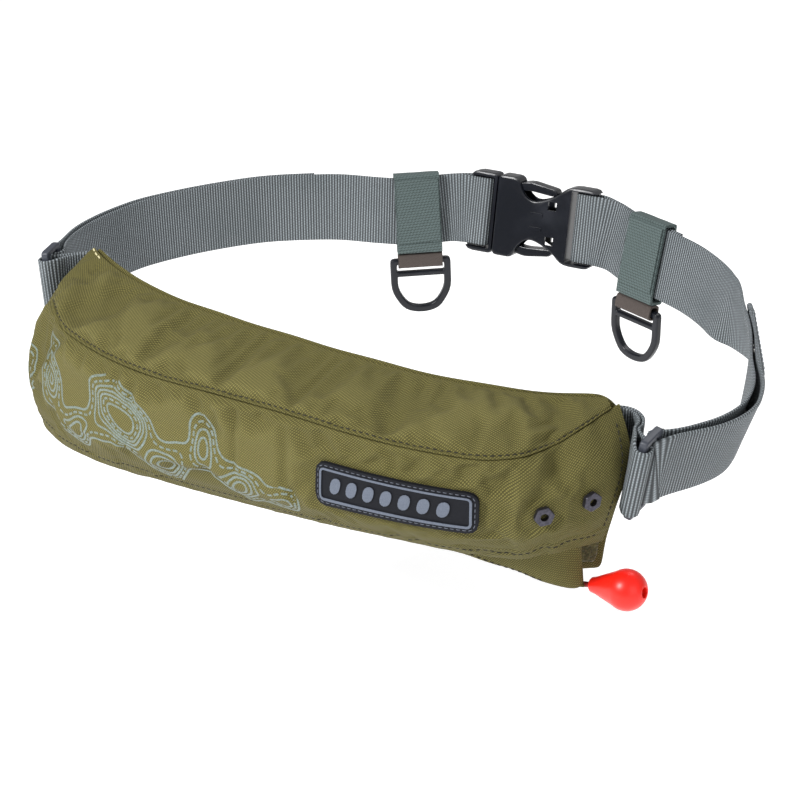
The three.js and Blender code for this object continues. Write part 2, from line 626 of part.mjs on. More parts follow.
// A strip bent onto the shell with rounded corners, inset from the badge's edge, between two heights.
function badgeStrip(inset, low, high, a0 = 0, a1 = BADGE_LENGTH, b0 = 0, b1 = BADGE_HEIGHT, slant = 0) {
  const corner = Math.max(0.8, Math.min(BADGE_CORNER - inset, (b1 - b0) / 2 - inset, (a1 - a0) / 2 - inset));
  const [start, end] = [a0 + inset, a1 - inset];
  const half = (b1 - b0) / 2 - inset;
  const middle = (b0 + b1) / 2;
  const ends = [0, 0.15, 0.5, 1].map((k) => corner * k);
  const inner = steps(start + corner, end - corner, Math.max(1, Math.round((end - start) / 6)));
  const last = ends.map((k) => end - k).reverse();
  const places = [...ends.map((k) => start + k), ...inner.slice(1, -1), ...last];
  const halfAt = (a) => {
    const into = Math.min(a - start, end - a);
    if (into >= corner) return half;
    return half - corner + Math.sqrt(Math.max(0, corner ** 2 - (corner - into) ** 2));
  };
  const grid = (c) => places.map((a) => steps(-1, 1, 4).map((s) => {
    const b = s * Math.max(0.35, halfAt(a));
    return onShell(a - slant * b, middle + b, c);
  }));
  return solid(sheetSolid(grid(high), grid(low)));
}
{
  const seat = 0.6;
  const face = seat + BADGE_THICK;
  const proud = face + BADGE_RELIEF;
  const rim = badgeStrip(2.6, face - 0.6, proud).subtract(badgeStrip(3.7, face - 1, proud + 1));
  // Plain slanted bars stand where the real badge has its lettering.
  const bars = steps(0, 6, 6).map((k) => {
    const a = 9 + k * 8.9;
    return badgeStrip(0, face - 0.6, proud, a, a + 5.4, 6.4, BADGE_HEIGHT - 6.4, 0.22);
  });
  addNode("badge", geometryOf(joined(badgeStrip(0, seat, face), rim, ...bars)), DARK_RUBBER);
}

// A frame on the shell for something seated there: X along the pouch, Z off the cloth.
function shellFrame(share, t, off) {
  const normal = shellNormal(share, t);
  const along = vec(1, 0, 0).addScaledVector(normal, -normal.x).normalize();
  const up = normal.clone().cross(along);
  const matrix = new THREE.Matrix4().makeBasis(along, up, normal);
  return matrix.setPosition(shellPoint(share, t).addScaledVector(normal, off));
}
function hexFastener(share, t, turn) {
  const across = HEX_FLATS / Math.sqrt(3);
  const corners = steps(0, 5, 5).map((k) => {
    const angle = (k * Math.PI) / 3 + turn;
    return [across * Math.cos(angle), across * Math.sin(angle), 0.9];
  });
  const shape = roundedShape(corners);
  const bore = new THREE.CylinderGeometry(HEX_BORE, HEX_BORE, HEX_HEIGHT * 2, 24).rotateX(Math.PI / 2);
  const nut = solid(plate(shape, HEX_HEIGHT, 0.5)).subtract(solid(bore));
  const seat = 0.65 + HEX_HEIGHT / 2;
  return geometryOf(nut).applyMatrix4(shellFrame(share, t, seat));
}
addNode("hex_fastener_front", hexFastener(0.847, 0.7, 0.15), BLACK_PLASTIC);
addNode("hex_fastener_side", hexFastener(0.934, 0.706, 0.3), BLACK_PLASTIC);

// Pull knob: a pear of plastic on a cord that comes out of the pouch's open corner.
const KNOB_NECK = vec(155.2, -109, -62.3);
const KNOB_AXIS = vec(0.985, 0.02, 0.17).normalize();
{
  const ball = KNOB_LENGTH - KNOB_RADIUS;
  const profile = [new THREE.Vector2(KNOB_BORE, 0), new THREE.Vector2(KNOB_NECK_RADIUS - 0.8, 0)];
  profile.push(new THREE.Vector2(KNOB_NECK_RADIUS, 0.8), new THREE.Vector2(KNOB_NECK_RADIUS + 0.5, 3));
  const startAngle = THREE.MathUtils.degToRad(-32);
  const endAngle = Math.acos((KNOB_BORE + 0.4) / KNOB_RADIUS);
  for (const angle of steps(startAngle, endAngle, 14))
    profile.push(new THREE.Vector2(KNOB_RADIUS * Math.cos(angle), ball + KNOB_RADIUS * Math.sin(angle)));
  profile.push(new THREE.Vector2(KNOB_BORE, KNOB_LENGTH - 0.9), new THREE.Vector2(KNOB_BORE, 0));
  const turned = new THREE.LatheGeometry(profile, 40);
  const upright = new THREE.Quaternion().setFromUnitVectors(vec(0, 1, 0), KNOB_AXIS);
  turned.applyQuaternion(upright).translate(KNOB_NECK.x, KNOB_NECK.y, KNOB_NECK.z);
  addNode("pull_knob", geometryOf(solid(turned)), RED_PLASTIC);

  const onAxis = (distance) => KNOB_NECK.clone().addScaledVector(KNOB_AXIS, distance);
  const path = new THREE.CatmullRomCurve3([
    onAxis(KNOB_LENGTH - 5), onAxis(KNOB_LENGTH / 2), onAxis(2), onAxis(-6),
    vec(140.5, -111.5, -56.5), vec(136.5, -113.5, -50), vec(136, -113.5, -45),
  ], false, "centripetal");
  const ring = new THREE.Shape().absarc(0, 0, CORD_RADIUS, 0, Math.PI * 2);
  const along = { steps: 26, extrudePath: path, curveSegments: 8, bevelEnabled: false };
  const cord = new THREE.ExtrudeGeometry(ring, along);
  addNode("pull_cord", geometryOf(solid(cord)), CORD_FIBRE);
}

// The buckle, in its own frame.
// An outline in the buckle's X-Z plane extruded across its thickness.
const bucklePlate = (shape, thick, bevel) => solid(plate(shape, thick, bevel).rotateX(Math.PI / 2));
const buckleBlock = (x0, x1, y0, y1, z0, z1) => solid(box(x0, y0, z0, x1, y1, z1));
const mirrored = (rows) => roundedShape([...rows, ...rows.map(([x, z, r]) => [x, -z, r]).reverse()]);
{
  const half = BUCKLE_HEIGHT / 2;
  const end = BUCKLE_LENGTH / 2;
  const mouth = end - SOCKET_LENGTH;
  const slotHalf = half - BUCKLE_RAIL;
  const cavity = BUCKLE_THICK / 2 - BUCKLE_WALL;
  const barHalf = BUCKLE_BAR_THICK / 2;
  const wallIn = half - BUCKLE_WALL - 0.6;
  // The socket: its mouth, its two scooped sides, and the bar that the right strap folds round.
  const scoopFrom = mouth + 12;
  const scoopTo = end - 19;
  const socketOutline = mirrored([
    [mouth, half, 2.6], [scoopFrom, half, 3], [scoopFrom + 2.5, 15.5, 4], [scoopFrom + 8, 10.6, 6],
    [scoopFrom + 14, 11.4, 5], [scoopTo - 3.5, 16.2, 4], [scoopTo + 2, half - 0.6, 5], [end, half - 0.6, 4],
  ]);
  const slot = roundedBox(end - BUCKLE_BAR - BUCKLE_SLOT, -slotHalf, end - BUCKLE_BAR, slotHalf, 1);
  const window = (z) => buckleBlock(scoopTo - 8.5, scoopTo - 3.5, -20, 20, z - 2.4, z + 2.4);
  const socket = bucklePlate(socketOutline, BUCKLE_THICK, 1.1)
    .subtract(buckleBlock(mouth - 1, scoopTo - 1, -cavity, cavity, -wallIn, wallIn))
    .subtract(bucklePlate(slot, BUCKLE_THICK * 2, 0))
    .subtract(window(9.8))
    .subtract(window(-9.8))
    .subtract(buckleBlock(end - BUCKLE_BAR - 1, end + 1, barHalf, 20, -slotHalf, slotHalf))
    .subtract(buckleBlock(end - BUCKLE_BAR - 1, end + 1, -20, -barHalf, -slotHalf, slotHalf));
  const faceY = -BUCKLE_THICK / 2;
  const ridges = [-4, 4].map((z) =>
    buckleBlock(scoopFrom + 9, scoopTo - 11, faceY - 0.5, faceY + 1, z - 0.9, z + 0.9));
  addNode("buckle_female", geometryOf(joined(socket, ...ridges)).applyMatrix4(buckleFrame), BLACK_PLASTIC);

  // The plug: a frame with its bar and slot, two sprung arms and a middle guide inside the socket.
  const base = mouth - 0.5;
  const thickIn = 2 * (cavity - BUCKLE_FIT);
  const frameOutline = mirrored([[-end, half, 5], [base, half, 2.6]]);
  const plugSlot = roundedBox(-end + BUCKLE_BAR, -slotHalf, -end + BUCKLE_BAR + BUCKLE_SLOT, slotHalf, 1);
  const plugFrame = bucklePlate(frameOutline, BUCKLE_THICK - 1.5, 1.1)
    .subtract(bucklePlate(plugSlot, BUCKLE_THICK * 2, 0))
    .subtract(buckleBlock(-end - 1, -end + BUCKLE_BAR + 0.5, barHalf, 20, -slotHalf, slotHalf))
    .subtract(buckleBlock(-end - 1, -end + BUCKLE_BAR + 0.5, -20, -barHalf, -slotHalf, slotHalf));
  const arm = (sign) => {
    const rows = [
      [base - 2, sign * 18.4, 1.2], [base + 9, sign * 18.4, 3], [scoopFrom + 6, sign * 21, 3],
      [scoopTo - 5, sign * 18.6, 2], [scoopTo - 4, sign * 15, 1.5], [scoopTo - 8, sign * 14.8, 1.5],
      [scoopFrom + 6, sign * 16, 3], [base + 9, sign * 13.8, 3], [base - 2, sign * 12.6, 1.2],
    ];
    return bucklePlate(roundedShape(sign > 0 ? rows : rows.reverse()), thickIn, 0.6);
  };
  const guide = bucklePlate(roundedBox(base - 2, -2.6, scoopTo - 9, 2.6, 1), thickIn - 1.4, 0.5);
  const plug = joined(plugFrame, arm(1), arm(-1), guide);
  addNode("buckle_male", geometryOf(plug).applyMatrix4(buckleFrame), BLACK_PLASTIC);
}

// Rectangular rings join the belt's two ends to the strap behind the pouch. Each has the belt's bar at its
// origin, its other bar at +X and Z along the bars.
const RING_SPAN = RING_DEPTH - RING_BAR;
function slider() {
  const half = WEB_WIDTH / 2 + RING_PLAY + RING_SIDE;
  const outer = roundedBox(-RING_BAR / 2, -half, RING_SPAN + RING_BAR / 2, half, 2.5);
  const inside = half - RING_SIDE;
  outer.holes.push(roundedBox(RING_BAR / 2, -inside, RING_SPAN - RING_BAR / 2, inside, 1.2));
  return geometryOf(solid(plate(outer, RING_BAR, 0.9).rotateX(Math.PI / 2)));
}
function frameOf(origin, x, z) {
  const y = z.clone().cross(x).normalize();
  return new THREE.Matrix4().makeBasis(x, y, z).setPosition(origin);
}
const leftRing = barAt(leftLine, 0);
const rightRing = barAt(rightLine, 1);
const turned = (ring, degrees) =>
  ring.far.clone().applyAxisAngle(ring.width, THREE.MathUtils.degToRad(degrees));
leftRing.across = turned(leftRing, LEFT_RING_TURN);
rightRing.across = turned(rightRing, RIGHT_RING_TURN);
for (const [name, ring] of [["left_slider", leftRing], ["right_slider", rightRing]])
  addNode(name, slider().applyMatrix4(frameOf(ring.point, ring.across, ring.width)), BLACK_PLASTIC);

// How far each ply stands off its resting place near a bar, and how far a ring's tail bellies out.
const besideBar = (distance, flat = 0, taper = TAPER) =>
  (FOLD_RADIUS - PLY_STEP / 2) * (1 - smooth(clamp01((distance - flat) / taper)));
function belly(distance, high) {
  const x = distance / BELLY_REACH;
  return high * x * Math.exp((1 - x * x) / 2);
}

// A strap: a tail outside, round the buckle's bar, back inside the loop, round the ring's bar, and the
// other tail outside again. buckleAt and ringAt are the bars' shares of the belt line.
function strap(line, plan) {
  const { buckleAt, ringAt, buckle, ring, buckleTail, ringTail, bellyHigh, hemmed } = plan;
  const distanceFrom = (at) => (share) => Math.abs(share - at) * line.length;
  const [fromBuckle, fromRing] = [distanceFrom(buckleAt), distanceFrom(ringAt)];
  const spread = (share) =>
    besideBar(fromBuckle(share), BUCKLE_FLAT, BUCKLE_TAPER) + besideBar(fromRing(share));
  const innerPly = (share) => line.at(share, -spread(share));
  const outerPly = (share) => line.at(share, PLY_STEP + spread(share) + belly(fromRing(share), bellyHigh));
  const inwards = Math.sign(ringAt - buckleAt) / line.length;
  const along = (from, to, place) =>
    steps(from, to, Math.max(2, Math.round((Math.abs(to - from) * line.length) / 7))).map(place);
  const tail = along(ringAt - inwards * BAR_CLEAR, ringAt - inwards * (ringTail - HEM_LENGTH), outerPly);
  const hemShares = [0, 0.12, 1].map((k) => ringAt - inwards * (ringTail - HEM_LENGTH * (1 - k)));
  const hem = hemShares.map((share, k) => {
    const thick = hemmed && k > 0 ? HEM_THICK : WEB_THICK;
    const station = line.at(share, PLY_STEP + belly(fromRing(share), bellyHigh) + (thick - WEB_THICK) / 2);
    return { ...station, thick };
  });
  return [
    ...along(buckleAt + inwards * buckleTail, buckleAt + inwards * BAR_CLEAR, outerPly),
    ...foldRound(buckle, FOLD_RADIUS).reverse(),
    ...along(buckleAt + inwards * BAR_CLEAR, ringAt - inwards * BAR_CLEAR, innerPly),
    ...foldRound(ring, FOLD_RADIUS),
    ...tail,
    ...hem.slice(1),
  ];
}
const leftStrap = strap(leftLine, {
  buckleAt: 1, ringAt: 0, buckle: buckleBar(-1), ring: leftRing,
  buckleTail: LEFT_KEEPER_FROM_BAR + 7, ringTail: LEFT_TAIL, bellyHigh: 1.5, hemmed: false,
});
const rightStrap = strap(rightLine, {
  buckleAt: 0, ringAt: 1, buckle: buckleBar(1), ring: rightRing,
  buckleTail: RIGHT_KEEPER_FROM_BAR + 20, ringTail: RIGHT_TAIL, bellyHigh: 4, hemmed: true,
});
addNode("left_strap", ribbon(leftStrap), WEBBING);
addNode("right_strap", ribbon(rightStrap), WEBBING);

// The way of the pouch's own strap from each ring to the back panel: how far out beyond the pouch's end and
// how far back of its rear corner, as shares of the ring's depth.
const PACK_STRAP_ROUTES = {
  left: [
    { out: 0.815, back: -0.35 },
    { out: 0.5, back: 0.09 },
    { out: 0.11, back: 0.32 },
  ],
  right: [
    { out: 0.825, back: -0.46 },
    { out: 0.79, back: -0.1 },
    { out: 0.59, back: 0.21 },
    { out: 0.2, back: 0.235 },
  ],
};
// The strap behind the pouch: one ply against the back panel, folded round each ring's far bar.
{
  const farBar = (ring, towards) => {
    const point = ring.point.clone().addScaledVector(ring.across, RING_SPAN);
    const far = towards.clone().sub(point).negate();
    far.addScaledVector(ring.width, -far.dot(ring.width)).normalize();
    const outward = ring.width.clone().cross(far).normalize();
    if (outward.y < 0) outward.negate();
    return { point, width: ring.width, far, outward };
  };
  const behindGap = CLOTH + TAPE_THICK + 2 * SEAM_GAP + WEB_THICK / 2 + 1.3;
  const behind = (share) => {
    const panel = backFace(share, PACK_TOP_Z / PACK_HEIGHT + 0.05, -behindGap);
    return vec(panel.x, panel.y);
  };
  const round = (side) => PACK_STRAP_ROUTES[side > 0 ? "right" : "left"].map(({ out, back }) =>
    vec(side * (PACK_HALF_LENGTH + out * RING_DEPTH), PACK_BACK_Y + back * RING_DEPTH));
  const middleDown = PACK_TOP_Z / PACK_HEIGHT;
  const tiltAt = (x) => {
    const share = Math.min(1, Math.max(-1, x / PACK_HALF_LENGTH));
    return backFace(share, middleDown - 0.2).sub(backFace(share, middleDown + 0.2)).normalize();
  };
  const [leftBar, rightBar] = [farBar(leftRing, round(-1)[0]), farBar(rightRing, round(1)[0])];
  const clearOf = (bar) =>
    bar.point.clone().addScaledVector(bar.far, -BAR_CLEAR).addScaledVector(bar.outward, -PLY_STEP / 2);
  const middle = steps(-0.955, 0.955, 12).map(behind);
  const way = [clearOf(leftBar), ...round(-1), ...middle, ...round(1).reverse(), clearOf(rightBar)];
  const path = new THREE.CatmullRomCurve3(way, false, "centripetal");
  const length = path.getLength();
  const twist = 45 / length;
  const at = (share, sign) => {
    const nearLeft = smooth(clamp01(1 - share / twist));
    const nearRight = smooth(clamp01(1 - (1 - share) / twist));
    const width = tiltAt(path.getPointAt(share).x).multiplyScalar(1 - nearLeft - nearRight)
      .addScaledVector(leftBar.width, nearLeft).addScaledVector(rightBar.width, nearRight).normalize();
    const tangent = path.getTangentAt(share);
    const outward = width.clone().cross(tangent).normalize();
    if (outward.y < 0) outward.negate();
    const distance = Math.min(share, 1 - share) * length + BAR_CLEAR;
    const off = sign * besideBar(distance) + (sign > 0 ? PLY_STEP : 0);
    return { point: path.getPointAt(share).addScaledVector(outward, off), width };
  };
  const tail = PACK_STRAP_TAIL / length;
  const stations = [
    ...steps(tail, 0, 8).map((share) => at(share, 1)),
    ...foldRound(leftBar, FOLD_RADIUS).reverse(),
    ...steps(0, 1, 60).map((share) => at(share, -1)),
    ...foldRound(rightBar, FOLD_RADIUS),
    ...steps(1, 1 - tail, 8).map((share) => at(share, 1)),
  ];
  addNode("pack_strap", ribbon(stations), WEBBING);
}

// Keepers: each a tube of tape round both plies with its free end lapped over the inner face, a tape loop
// below it, and a D-ring in the loop.
function keeperFrame(line, share) {
  const [before, here, after] = [-0.02, 0, 0.02].map((step) => line.at(share + step, PLY_STEP / 2));
  const along = after.point.clone().sub(before.point).normalize();
  const width = here.width.addScaledVector(along, -here.width.dot(along)).normalize();
  return frameOf(here.point, along, width);
}
const acrossBelt = (shape, wide) =>
  plate(shape, wide).applyMatrix4(new THREE.Matrix4().makeBasis(vec(0, 1, 0), vec(0, 0, 1), vec(1, 0, 0)));
function keeperTube() {
  const halfThick = PLY_STEP / 2 + WEB_THICK / 2 + KEEPER_CLEAR;
  const top = WEB_WIDTH / 2 + PLY_GAP + 0.7;
  const bottom = -WEB_WIDTH / 2 - KEEPER_DROP + KEEPER_WALL;
  const wall = KEEPER_WALL;
  const outer = roundedBox(-halfThick - wall, bottom - wall, halfThick + wall, top + wall, 1.8);
  outer.holes.push(roundedBox(-halfThick, bottom, halfThick, top, 0.8));
  const lap = roundedBox(-halfThick - wall - 1.1, bottom + 5, -halfThick - wall + 0.4, top - 1, 0.5);
  return geometryOf(solid(acrossBelt(outer, KEEPER_WIDTH)).add(solid(acrossBelt(lap, KEEPER_WIDTH - 1.6))));
}
const BAR_SWEEP = Math.hypot(D_THICK / 2, D_BAR / 2 - 0.9); // what the D-ring's bar needs to turn in
function ringTab() {
  const inner = BAR_SWEEP + 0.4;
  const outer = inner + D_TAB_THICK;
  const top = D_DROP - KEEPER_DROP - SEAM_GAP;
  const shape = roundedBox(-outer, -outer, outer, top, 2.2);
  shape.holes.push(roundedBox(-inner, -inner, inner, top - D_TAB_THICK, 1.6));
  return geometryOf(solid(acrossBelt(shape, D_TAB_WIDTH)));
}
function dRing() {
  const half = D_WIDTH / 2;
  const top = D_BAR / 2;
  const foot = top - D_HEIGHT;
  const round = (wide, bottom, start) => [
    [wide, start, 0.5], [wide, start - (start - bottom) * 0.42, 5], [wide * 0.62, bottom + wide * 0.14, 5],
    [wide * 0.2, bottom, 3], [-wide * 0.2, bottom, 3], [-wide * 0.62, bottom + wide * 0.14, 5],
    [-wide, start - (start - bottom) * 0.42, 5], [-wide, start, 0.5],
  ];
  const outline = [[-half, top, 2.6], [half, top, 2.6], ...round(half, foot, -8).slice(1, -1)];
  const shape = roundedShape(outline.reverse());
  const slotFoot = -top - D_SLOT;
  shape.holes.push(roundedBox(-half + D_RIM, slotFoot, half - D_RIM, -top, 1.2));
  shape.holes.push(roundedShape(round(half - D_RIM - 0.3, foot + D_RIM + 0.3, slotFoot - D_BAR).reverse()));
  return geometryOf(solid(plate(shape, D_THICK, 0.9).rotateX(Math.PI / 2)));
}
function addKeeper(side, line, share) {
  const frame = keeperFrame(line, share);
  const axis = vec(0, 0, -WEB_WIDTH / 2 - D_DROP);
  const tab = frame.clone().multiply(new THREE.Matrix4().setPosition(axis));
  const barAxis = vec(1, 0, 0).transformDirection(frame);
  const upright = UP.clone().addScaledVector(barAxis, -UP.dot(barAxis)).normalize();
  const hang = frameOf(axis.clone().applyMatrix4(frame), barAxis, upright);
  addNode(`${side}_keeper`, keeperTube().applyMatrix4(frame), KEEPER_TAPE);
  addNode(`${side}_ring_tab`, ringTab().applyMatrix4(tab), RING_TAPE);
  addNode(`${side}_d_ring`, dRing().applyMatrix4(hang), BLACK_PLASTIC);
}
addKeeper("left", leftLine, 1 - LEFT_KEEPER_FROM_BAR / leftLine.length);
addKeeper("right", rightLine, RIGHT_KEEPER_FROM_BAR / rightLine.length);

export default root;
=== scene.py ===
"""The looks of an inflatable belt pack: an olive cloth pouch on a webbing belt with a side-release buckle.

Shapes are worked out in millimetres, in the frame's own axes, and become metres when a mesh is made.
"""
import math

import bmesh
import bpy
import numpy as np
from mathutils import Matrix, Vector
from mathutils.bvhtree import BVHTree
from mathutils.kdtree import KDTree


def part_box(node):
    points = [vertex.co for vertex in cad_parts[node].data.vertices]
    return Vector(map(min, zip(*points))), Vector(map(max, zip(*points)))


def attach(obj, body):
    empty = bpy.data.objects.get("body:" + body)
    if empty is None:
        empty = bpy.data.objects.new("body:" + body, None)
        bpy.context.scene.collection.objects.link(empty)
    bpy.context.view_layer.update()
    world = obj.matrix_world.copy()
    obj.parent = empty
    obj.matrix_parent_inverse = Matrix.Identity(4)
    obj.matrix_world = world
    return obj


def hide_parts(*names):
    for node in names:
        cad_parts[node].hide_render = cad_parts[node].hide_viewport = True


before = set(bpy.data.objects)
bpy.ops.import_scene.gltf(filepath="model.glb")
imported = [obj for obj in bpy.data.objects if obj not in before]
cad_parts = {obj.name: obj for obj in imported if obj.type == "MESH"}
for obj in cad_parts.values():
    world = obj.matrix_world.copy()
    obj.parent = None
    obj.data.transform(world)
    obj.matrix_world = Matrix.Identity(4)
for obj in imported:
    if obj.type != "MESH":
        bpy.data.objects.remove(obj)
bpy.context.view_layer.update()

MM = 0.001
BODY = "belt_pack"
SEED = 7

# The camera that the photograph was taken with: where it looks, from which way, how far, and its lens.
CAMERA_TARGET = (46.5, -105.0, 0.0)
CAMERA_AZIMUTH = 34.14
CAMERA_ELEVATION = 27.0
CAMERA_DISTANCE = 1132.0
CAMERA_LENS = 108.0
FLOOR_Z = -230.0
FLOOR_HALF = 8000.0
LIGHTS_AIM = (0, -60, 0)

# The belt's webbing: how far apart its mesh's sections are, and its share of the CAD thickness.
STRAP_STEP = 1.6
STRAP_THINNED = 0.94

# The pouch, as in the part: its half length, back edge, depth, height and top edge.
PACK_HALF_LENGTH = 152.5
PACK_BACK_Y = -90.0
PACK_BOW = 32.0
BOW_POWER = 3.2
PACK_DEPTH = 46.0
PACK_HEIGHT = 88.0
PACK_TOP_Z = 26.0
SEAM_GAP = 0.4
SEAM_AT = 0.4
CLOTH = 1.5
TOP_PANEL_END = 0.982

# Sections across the pouch at shares of its half length: how far down the seam and hem are, as shares of
# the height, and how far forward the seam, the upper and lower front and the hem stand, of the depth.
SECTION_COLUMNS = ("share", "seam_down", "seam", "upper", "lower", "hem_down", "hem")
SECTIONS = (
    (-1.0, 0.03, 0.03, 0.07, 0.16, 0.9, 0.28),
    (-0.99, 0.08, 0.15, 0.3, 0.42, 0.94, 0.45),
    (-0.97, 0.11, 0.3, 0.5, 0.66, 0.97, 0.64),
    (-0.94, 0.13, 0.45, 0.72, 0.87, 0.985, 0.76),
    (-0.88, 0.135, 0.64, 0.92, 1.01, 0.99, 0.85),
    (-0.8, 0.13, 0.83, 0.99, 1.03, 0.995, 0.84),
    (-0.68, 0.16, 0.97, 1.04, 1.05, 0.99, 0.77),
    (-0.4, 0.17, 1.03, 1.07, 1.05, 0.945, 0.65),
    (-0.1, 0.143, 1.04, 1.07, 1.05, 0.905, 0.62),
    (0.2, 0.127, 1.04, 1.07, 1.04, 0.86, 0.62),
    (0.5, 0.143, 1.02, 1.06, 1.03, 0.815, 0.63),
    (0.7, 0.145, 1.0, 1.04, 1.0, 0.805, 0.64),
    (0.79, 0.14, 0.89, 0.99, 0.96, 0.795, 0.65),
    (0.86, 0.125, 0.63, 0.86, 0.87, 0.75, 0.65),
    (0.92, 0.068, 0.43, 0.68, 0.73, 0.735, 0.56),
    (0.965, 0.04, 0.21, 0.5, 0.58, 0.74, 0.49),
    (1.0, 0.018, 0.06, 0.26, 0.43, 0.75, 0.42),
)
# How far the right end leans out at its upper edge and in at its lower one, in half lengths.
END_COLUMNS = ("share", "up", "low")
END_SIDES = (
    (0.79, 0, 0),
    (0.86, 0.005, 0),
    (0.92, 0.022, -0.005),
    (0.965, 0.04, -0.02),
    (1.0, 0.055, -0.035),
)

# The badge on the front panel, in millimetres, but FROM is its left end in half lengths and AT its top edge
# on the section. FRONT_LENGTH is what a whole section counts as there, and HEX_PLACES are the two fasteners.
BADGE_LENGTH = 80.0
BADGE_HEIGHT = 20.0
BADGE_FROM = 0.29
BADGE_AT = 0.575
BADGE_STRETCH = 1.23
BADGE_CORNER = 5.0
BADGE_FACE = 2.4
FRONT_LENGTH = 108.0
HEX_PLACES = ((0.847, 0.7), (0.934, 0.706))

# Creases of the cloth, each from one place to another in shares of the half length and of the section:
# how high it stands in millimetres, and how wide it is as a share.
CREASES = (
    ((0.78, 0.46), (0.70, 0.70), -1.6, 0.030),
    ((0.88, 0.46), (0.80, 0.74), -1.4, 0.026),
    ((0.60, 0.44), (0.50, 0.60), -1.2, 0.026),
    ((0.69, 0.44), (0.63, 0.62), -1.1, 0.022),
    ((0.52, 0.44), (0.44, 0.55), -0.9, 0.022),
    ((0.74, 0.45), (0.68, 0.60), 0.9, 0.022),
    ((0.65, 0.44), (0.57, 0.58), 0.8, 0.022),
    ((-0.16, 0.44), (-0.06, 0.62), -1.3, 0.030),
    ((-0.09, 0.44), (0.02, 0.60), 0.8, 0.026),
    ((-0.42, 0.70), (-0.30, 0.95), -1.3, 0.026),
    ((-0.34, 0.70), (-0.22, 0.95), 0.9, 0.026),
    ((-0.70, 0.43), (-0.82, 0.60), -1.3, 0.030),
    ((-0.62, 0.43), (-0.74, 0.58), 0.8, 0.024),
    ((-0.90, 0.06), (-0.68, 0.32), -1.2, 0.035),
    ((-0.82, 0.06), (-0.60, 0.32), 0.9, 0.030),
    ((-0.74, 0.05), (-0.50, 0.32), -1.1, 0.035),
    ((-0.62, 0.08), (-0.40, 0.34), 0.7, 0.035),
    ((-0.40, 0.06), (-0.20, 0.34), -0.9, 0.040),
    ((-0.12, 0.10), (0.02, 0.36), 0.6, 0.040),
    ((0.30, 0.26), (0.36, 0.38), -0.7, 0.030),
    ((0.44, 0.26), (0.48, 0.38), -0.8, 0.026),
    ((0.56, 0.26), (0.58, 0.38), -0.8, 0.026),
    ((0.66, 0.26), (0.66, 0.38), -0.8, 0.024),
    ((0.22, 0.88), (0.34, 0.96), -0.7, 0.026),
    ((0.70, 0.86), (0.60, 0.96), -0.9, 0.026),
    ((-0.955, 0.44), (-0.93, 0.66), 0.8, 0.014),
)

# Hills of the contour print: place along and down the front panel from its left end and from the seam,
# half widths along and down, all in millimetres, and height. Its lines are the level lines of their sum.
HILLS = (
    (44, 42, 15, 15, 0.8),
    (82, 26, 12, 17, 0.85),
    (106, 44, 15, 11, 0.75),
    (138, 26, 20, 16, 1.2),
    (168, 46, 12, 14, 0.85),
    (190, 28, 10, 16, 0.75),
    (214, 42, 16, 12, 0.9),
    (238, 50, 10, 9, 0.6),
)
PRINT_LEVELS = (0.34, 0.46, 0.58, 0.7, 0.82, 0.94, 1.06)
DASHED_LEVELS = (0.46, 0.94)
PRINT_BOX = (22.0, 246.0, 7.0, 61.0)
PRINT_GRID = 1.0
PRINT_STEP = 0.7
PRINT_ROUNDS = 3
PRINT_WIDTH = 1.15
PRINT_LIFT = 0.06
PRINT_DEPTH = 0.3
PRINT_HEM_GAP = 6.5
DASH_STEP = 6
DASH_POINTS = 5


def column(rows, names, name, share):
    """A table's column at a share, through its rows without overshoot."""
    x = [row[0] for row in rows]
    y = [row[names.index(name)] for row in rows]
    last = len(x) - 1
    if share <= x[0]:
        return y[0]
    if share >= x[last]:
        return y[last]
    k = next(i for i in range(last + 1) if x[i] > share) - 1

    def rise(i):
        return (y[i + 1] - y[i]) / (x[i + 1] - x[i])

    def slope(i):
        if i == 0:
            return rise(0)
        if i == last:
            return rise(last - 1)
        before, after = rise(i - 1), rise(i)
        return 0 if before * after <= 0 else 2 * before * after / (before + after)

    span = x[k + 1] - x[k]
    t = (share - x[k]) / span
    return (
        (2 * t**3 - 3 * t**2 + 1) * y[k] + (t**3 - 2 * t**2 + t) * span * slope(k)
        + (3 * t**2 - 2 * t**3) * y[k + 1] + (t**3 - t**2) * span * slope(k + 1)
    )


def unit(vectors):
    return vectors / np.maximum(np.linalg.norm(vectors, axis=-1, keepdims=True), 1e-9)


def smooth(t):
    t = np.clip(t, 0, 1)
    return t * t * (3 - 2 * t)


def bell(off, wide):
    """1 where off is 0, falling smoothly to nothing over about twice wide."""
    return np.exp(-((off / wide) ** 2))


def curve(before, start, end, after, w):
    """The point at a share w of the way from start to end, on a smooth curve through all four."""
    leave, arrive = (end - before) / 2, (after - start) / 2
    return (
        start + leave * w + (3 * (end - start) - 2 * leave - arrive) * w**2
        + (2 * (start - end) + leave + arrive) * w**3
    )


def run_of(line):
    """The distance along a line of points at each of them."""
    return np.concatenate([[0], np.cumsum(np.linalg.norm(np.diff(line, axis=0), axis=-1))])


def value_at(values, run, at):
    """The vector at one or more distances, from vectors that are known at the distances run."""
    return np.stack([np.interp(at, run, part) for part in values.T], -1)


def lengthwise(start, end, count):
    """Shares along the pouch, closer together at its blunt ends."""
    s = np.linspace(-1, 1, count + 1)
    return start + (end - start) * (np.sin(s * np.pi / 2) * 0.45 + s * 0.55 + 1) / 2


